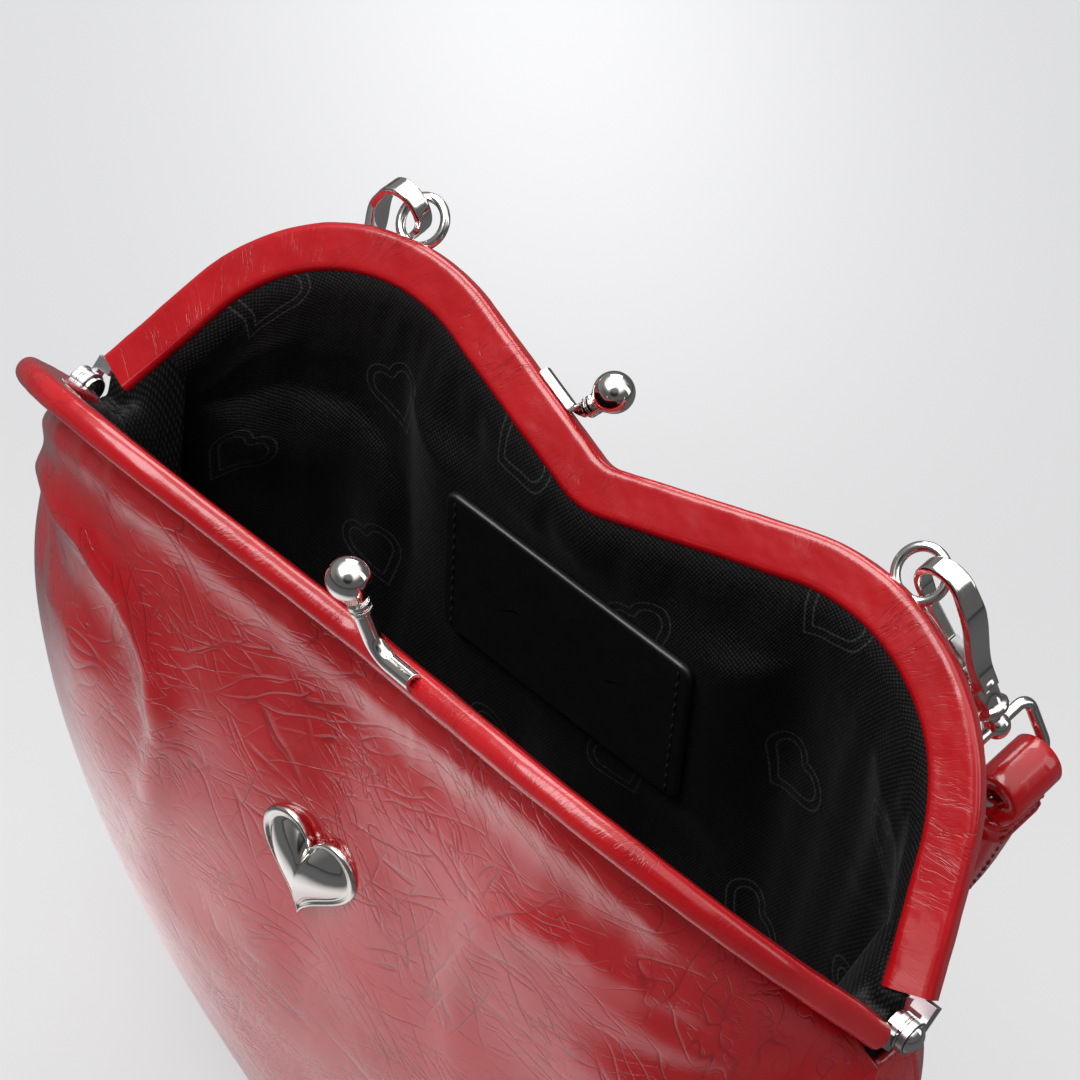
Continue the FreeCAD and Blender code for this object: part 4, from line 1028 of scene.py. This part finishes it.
def roundBox(wide, tall, corner, count):  # points round a rectangle with rounded corners
    corner = min(corner, wide * 0.999, tall * 0.999)
    line = []
    for quarter, (sx, sy) in enumerate(((1, 1), (-1, 1), (-1, -1), (1, -1))):
        for a in np.linspace(0, math.pi / 2, 12) + quarter * math.pi / 2:
            line.append((sx * (wide - corner) + corner * math.cos(a), sy * (tall - corner) + corner * math.sin(a)))
    line = np.array(line + line[:1])
    run = runAlong(line)
    want = np.linspace(0, run[-1], count, endpoint=False)
    return np.stack([np.interp(want, run, line[:, k]) for k in (0, 1)], 1)


def labelPiece():
    s = labelSet
    wide, tall = s.width / 2, s.height / 2
    rings = []
    for inset, up in s.profile:
        box = roundBox(wide - inset, tall - inset, max(s.corner - inset, 0.05), s.around)
        rings.append(onLabel(box[:, 0], tall - box[:, 1], s.rise + up))
    frameBlend(ringPiece("label_leather", rings, labelLeather), 1, "black_leather", "label_patch")
    down = np.linspace(s.seamEnd, s.height - s.seamEnd, s.seamPoints)
    for sign, name in hands[::-1]:
        line = onLabel(sign * (wide - s.seamIn), down, s.rise + s.depth + s.proud)
        row = stitches(f"label_{name}_stitches", line, s.pitch, np.cross(-labelOut, labelDown), blackThread)
        frameBlend(row, 1, "black_lining")


labelPiece()
print("lining and label sewn in")

# wrist strap
strapSet = Settings(route=((77.871, 44.605, 11.676), (74.971, 49.033, -13.436), (59.871, 56.500, -55.783),
    (27.871, 62.404, -89.266)), origin=(0.0, 39.127354, 42.740855), lean=math.radians(10.0), width=10.6, depth=4.6,
    corner=1.7, step=1.0, endRound=1.0, endDraw=0.3, pucker=0.35, order=3, steps=24, seamEnd=12, pitch=2.6, proud=0.02)
strapWide = np.array((0.0, math.cos(strapSet.lean), math.sin(strapSet.lean)))
strapUp = np.array((0.0, -math.sin(strapSet.lean), math.cos(strapSet.lean)))
strapOrigin = np.array(strapSet.origin)


def strapLine():  # smooth line led by the route's points, from the right loop to the left one
    half = [np.array(p) for p in strapSet.route]
    ends = half + [p * (-1, 1, 1) for p in half[::-1]]
    curve = bpy.data.curves.new("route", "CURVE")
    curve.dimensions = "3D"
    spline = curve.splines.new("NURBS")
    spline.points.add(len(ends) - 1)
    for point, place in zip(spline.points, ends):
        point.co = tuple(place * mm) + (1.0,)
    spline.order_u = strapSet.order
    spline.use_endpoint_u = True
    spline.resolution_u = strapSet.steps
    route = bpy.data.objects.new("route", curve)
    scene.collection.objects.link(route)
    mesh = bpy.data.meshes.new_from_object(route.evaluated_get(bpy.context.evaluated_depsgraph_get()))
    points = np.array([v.co for v in mesh.vertices]) / mm
    bpy.data.objects.remove(route)
    return points


def strapPiece(points):
    s = strapSet
    flat = points - strapOrigin
    flat = np.stack([flat[:, 0], flat @ strapUp, flat[:, 0] * 0], 1)
    strap = grown("strap_leather", drawnLeather, lineObject(flat), {
        "Width": s.depth * mm, "Depth": s.width * mm, "Corner": s.corner * mm, "Step": s.step * mm,
        "End Round": s.endRound * mm, "End Draw": s.endDraw, "Pucker": s.pucker * mm, "Level": 0.0,
        "Lean": math.pi / 2 + s.lean, "Place": tuple(strapOrigin * mm), "Material": redBar})
    settled(strap, "strap", "red_leather", "strap")


def strapSeams(points):  # down the middle of both faces
    s = strapSet
    out = np.cross(unit(np.gradient(points, axis=0)), strapWide)
    run = runAlong(points)
    between = (run > s.seamEnd) & (run < run[-1] - s.seamEnd)
    for sign, face in faces:
        line = (points + out * sign * (s.depth / 2 + s.proud))[between]
        row = stitches(f"strap_{face}_stitches", line, s.pitch, strapWide * sign, redThread)
        settled(row, "strap", "red_leather")


loopSet = Settings(reach=4.8, bore=2.0, over=0.4, neck=1.8, draw=3.2, around=72, boreEdge=0.6, edge=((0.0, 0.8),
    (0.0, 0.45), (0.07, 0.2), (0.28, 0.03)))
keeperSet = Settings(start=5.2, length=5.4, depth=1.1, around=72, seams=((0.26, "top"), (0.74, "foot")), seamEnd=0.8,
    seamPoints=9, pitch=1.5, proud=1.03, profile=((0, 0.1), (0.0, 0.55), (0.02, 0.95), (0.06, 1.25), (0.12, 1.38),
    (0.18, 1.25), (0.24, 1.0), (0.5, 1.04), (0.76, 1.0), (0.82, 1.25), (0.88, 1.38), (0.94, 1.25), (0.98, 0.95),
    (1, 0.55), (1, 0.1)))


def strapEnd(hand, name):
    start, onward = (np.array(p) * (hand, 1, 1) for p in strapSet.route[:2])
    ahead = unit(onward - start)
    beside = np.cross(ahead, strapWide)
    half, deep = strapSet.width / 2, strapSet.depth / 2
    s = loopSet  # folded loop round the eye, a round that draws in to the strap below it
    turns = np.linspace(0, 2 * math.pi, s.around, endpoint=False)
    circle = np.stack([np.cos(turns), np.sin(turns)], 1)
    a, b = (circle * s.reach).T
    pull = np.clip((a - s.neck) / (s.reach - s.neck), 0, 1)
    b = b * (1 - pull) + np.sign(b) * np.minimum(np.abs(b), deep) * pull
    outline = np.stack([a + pull * s.draw, b], 1)
    edge = half + s.over
    levels = [(up - edge, shrink) for up, shrink in s.edge] + [(edge * share, 0.0) for share in (-0.5, 0, 0.5)]
    levels += [(edge - up, shrink) for up, shrink in s.edge[::-1]]
    rings = [(outline * (1 - shrink / s.reach), level) for level, shrink in levels]
    rings += [(circle * s.bore, level) for level in (edge, edge - s.boreEdge, 0, s.boreEdge - edge, -edge)]
    rings = [start + ring[:, :1] * ahead + ring[:, 1:] * beside + strapWide * level for ring, level in rings]
    settled(ringPiece(name + "_strap_loop", rings, redBar, True), "strap", "red_leather")
    s = keeperSet  # keeper band with turned edges
    rings = []
    for share, grow in s.profile:
        more = s.depth * grow
        box = roundBox(half + more, deep + more, strapSet.corner + more, s.around)
        place = start + ahead * (s.start + s.length * share)
        rings.append(place + box[:, :1] * strapWide + box[:, 1:] * beside)
    keeper = ringPiece(name + "_keeper_leather", rings, redBar, True)
    settled(keeper, "strap", "red_leather", name + "_strap_keeper")
    across = np.linspace(s.seamEnd - half, half - s.seamEnd, s.seamPoints)[:, None] * strapWide
    for sign, face in faces:
        for share, end in s.seams:
            middle = start + ahead * (s.start + s.length * share)
            line = middle + across + beside * sign * (deep + s.depth * s.proud)
            row = stitches(f"{name}_keeper_{face}_{end}_stitches", line, s.pitch, ahead * -sign, redThread)
            settled(row, "strap", "red_leather")


strapPoints = strapLine()
strapPiece(strapPoints)
for hand, name in hands:
    strapEnd(hand, name)
strapSeams(strapPoints)
print("strap made")


def heartBadge():  # a plain domed heart with a bead round it
    s = badgeSet
    turns = np.linspace(0, 2 * math.pi, s.points, endpoint=False)
    x = 16 * np.sin(turns) ** 3
    y = 13 * np.cos(turns) - 5 * np.cos(2 * turns) - 2 * np.cos(3 * turns) - np.cos(4 * turns) + 2.5
    outline = x[:, None] / 32 * s.width * np.array((1.0, 0, 0)) + y[:, None] / 29 * s.height * badgeUp
    rings = [badgePlace + outline * share + badgeOut * (s.seat + rise) for share, rise in s.profile]
    settled(ringPiece("heart_badge", rings, chrome), "bag", "bright_metal", "badge")


heartBadge()

# snap hooks: a strip that widens at the shoulder and runs into a turned barrel
hookSet = Settings(hang=58.918, tilt=math.radians(31.0), drop=0.2, middle=4.3, tail=2.6, straight=18.5, bendFrom=3.0,
    bendLength=13.0, bendIn=3.2, corner=0.38, around=64, stations=((-2.6, 1.0, 0.5), (-2.0, 1.45, 0.66),
    (0.0, 1.6, 0.7), (6.7, 1.7, 0.7), (13.5, 2.1, 0.72), (18.0, 2.35, 0.8), (24.0, 2.2, 0.95), (29.0, 1.9, 1.15),
    (33.0, 1.75, 1.3)), barrel=((16.6, 0.05), (16.6, 1.3), (16.8, 2.0), (17.2, 2.45), (17.8, 2.6), (18.4, 2.5),
    (18.7, 2.4), (21.4, 2.4), (21.7, 2.55), (21.9, 3.0), (22.1, 3.18), (22.9, 3.18), (23.2, 3.05), (23.4, 2.5),
    (23.45, 1.3)))


def hung(hand, beside, drop, back):  # a place on a hook, from the middle of its ring
    s = hookSet
    drop = drop + s.drop
    side = beside * math.cos(s.tilt) + drop * math.sin(s.tilt)
    down = drop * math.cos(s.tilt) - beside * math.sin(s.tilt)
    x, y, z = np.broadcast_arrays(hand * (s.hang + side), back, -down)
    return strapOrigin + np.stack([x, x * 0, x * 0], -1) + y[..., None] * strapWide + z[..., None] * strapUp


def hookPieces(hand, name):
    s = hookSet
    route = [(-s.middle, d) for d in np.linspace(s.tail, 0.1, 8)]
    route += [(s.middle * math.cos(a), -s.middle * math.sin(a)) for a in np.linspace(math.pi, 0, 40)]
    for d in np.linspace(0.02, 1, 50) * s.straight:  # the shoulder bends in to the barrel
        ease = np.clip((d - s.bendFrom) / s.bendLength, 0, 1)
        route.append((s.middle - s.bendIn * ease * ease * (3 - 2 * ease), d))
    route = np.array(route)
    ahead = unit(np.gradient(route, axis=0))
    out = np.stack([-ahead[:, 1], ahead[:, 0]], 1)
    stations = np.array(s.stations)
    wide, deep = (np.interp(runAlong(route) - s.tail, stations[:, 0], stations[:, k]) for k in (1, 2))
    rings = []
    for spot, turn, half, thick in zip(route, out, wide, deep):
        box = roundBox(half, thick, s.corner, s.around)
        rings.append(hung(hand, spot[0] + turn[0] * box[:, 1], spot[1] + turn[1] * box[:, 1], box[:, 0]))
    strip = ringPiece(name + "_hook_strip", rings, chrome)
    turns = np.linspace(0, 2 * math.pi, s.around, endpoint=False)
    rings = [hung(hand, np.cos(turns) * half, turns * 0 + drop, np.sin(turns) * half) for drop, half in s.barrel]
    barrel = ringPiece(name + "_hook_barrel", rings, chrome)
    settled(strip, name + "_hook", "bright_metal", name + "_hook")
    settled(barrel, name + "_hook", "bright_metal")


for hand, name in hands:
    hookPieces(hand, name)
print("hooks made")

steelNodes = ("back_frame_core", "front_frame_core", "left_gate_spring", "right_gate_spring", "left_gate_pin",
              "right_gate_pin", "badge_plates")
for name, node in frame["nodes"].items():
    if not node.hide_render:
        node.data.materials.clear()
        node.data.materials.append(steel if name in steelNodes else chrome)
print("metal finished")

# studio, in metres
lampSet = {"key_lamp": ((-0.3, -0.35, 1.0), 0.8, 0.8, 10.3), "left_lamp": ((-0.52, 0.68, 0.75), 0.75, 0.55, 5.5),
           "right_lamp": ((0.8, 0.75, 0.5), 0.4, 0.8, 1.5)}
worldSet = Settings(dim=0.11, top=0.55, topFrom=(0.35, 1.0), left=0.12, leftFrom=(0.3, 1.0), shine=0.8,
    shineFrom=(0.5, 0.75), shade=0.85, shadeFrom=(0.86, 0.95), light=(1, 1, 1, 1), seen=(0.74, 0.75, 0.77, 1))
floorSet = Settings(half=4, below=0.0005, across=(0.723, 0.691, 0.0), away=(-0.601, 0.799, 0.0), middle=(-0.02, -0.05),
    shine=(0.05, 0.17), poolOff=0.03, poolFall=-138.0, poolFrom=(0.1, 0.38), pool=0.31, plain=0.61,
    nearFrom=(0.02, 0.2), near=0.12, distant=(0.6, 1.8), distantGlow=0.755, glowShare=0.75, pale=(0.84, 0.845, 0.86, 1),
    dark=(0.10, 0.10, 0.105, 1), glow=(0.985, 0.99, 1.0, 1))
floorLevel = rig.bounds()[0][2] - floorSet.below


def areaLamp(name, place, wide, tall, watts):
    lamp = bpy.data.lights.new(name, "AREA")
    lamp.shape = "RECTANGLE"
    lamp.size, lamp.size_y = wide, tall
    lamp.energy = watts
    item = bpy.data.objects.new(name, lamp)
    turn = (-Vector(place)).to_track_quat("-Z", "Y").to_matrix().to_4x4()
    item.matrix_world = Matrix.Translation(place) @ turn
    scene.collection.objects.link(item)


def studioWorld():  # metal mirrors a bright top, and a dark patch round the camera
    s = worldSet
    world = bpy.data.worlds.new("studio")
    world.use_nodes = True
    world.node_tree.nodes.clear()
    web = Web(world.node_tree)
    ray = web.add("ShaderNodeLightPath", out="Is Camera Ray")
    mirrored = ray.also("Is Glossy Ray")
    way = web.add("ShaderNodeTexCoord", out="Generated")
    up = web.add("ShaderNodeSeparateXYZ", {0: way}, "Z")
    level = s.dim + web.smooth(up, *s.topFrom) * s.top
    level = level + web.smooth(up.also("X") * -1.0, *s.leftFrom) * s.left
    facing = web.vectors("DOT_PRODUCT", way, cameraSet.back).also("Value")
    level = level + web.smooth(up, *s.shineFrom) * mirrored * s.shine
    level = level * (1 - web.smooth(facing, *s.shadeFrom) * mirrored * s.shade)
    lit = web.add("ShaderNodeBackground", {"Color": s.light, "Strength": level})
    seen = web.add("ShaderNodeBackground", {"Color": s.seen, "Strength": 1.0})
    web.add("ShaderNodeOutputWorld", {"Surface": web.add("ShaderNodeMixShader", {0: ray, 1: lit, 2: seen})})
    scene.world = world


def paleFloor():  # a pool of light behind the bag; metal mirrors the floor bright only near the bag
    s = floorSet
    mesh = bpy.data.meshes.new("floor")
    corners = ((-1, -1), (1, -1), (1, 1), (-1, 1))
    mesh.from_pydata([(x * s.half, y * s.half, floorLevel) for x, y in corners], [], [(0, 1, 2, 3)])
    floor = bpy.data.objects.new("floor", mesh)
    scene.collection.objects.link(floor)
    finish, web = newMaterial("pale_floor")
    ray = web.add("ShaderNodeLightPath", out="Is Camera Ray")
    spot = web.add("ShaderNodeTexCoord", out="Object")
    near = web.vectors("DISTANCE", spot, (*s.middle, floorLevel)).also("Value")
    far = web.smooth(near, *s.shine)
    beside = web.vectors("DOT_PRODUCT", spot, s.across).also("Value") - s.poolOff
    away = web.vectors("DOT_PRODUCT", spot, s.away).also("Value")
    pool = web.maths("EXPONENT", beside * beside * s.poolFall) * web.smooth(away, *s.poolFrom)
    bright = s.plain + pool * s.pool + (1 - web.smooth(away, *s.nearFrom)) * s.near
    distant = web.smooth(near, *s.distant)  # far off, the floor runs into the background
    bright = bright * (1 - distant) + distant * s.distantGlow
    plain = web.add("ShaderNodeBsdfDiffuse", {
        "Color": web.mixed(far * ray.also("Is Glossy Ray"), s.pale, s.dark)})
    glow = web.add("ShaderNodeEmission", {"Color": s.glow, "Strength": bright})
    share = ray * (s.glowShare + distant * (1 - s.glowShare))
    web.add("ShaderNodeOutputMaterial", {"Surface": web.add("ShaderNodeMixShader", {0: share, 1: plain, 2: glow})})
    mesh.materials.append(finish)
    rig.stage(floor)


for name, lamp in lampSet.items():
    areaLamp(name, *lamp)
studioWorld()
paleFloor()

sizes = {"cad": [list(corner) for corner in cadBox], "visual": [list(corner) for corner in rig.bounds()]}
with open("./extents.json", "w") as file:
    json.dump(sizes, file)
print("studio set")
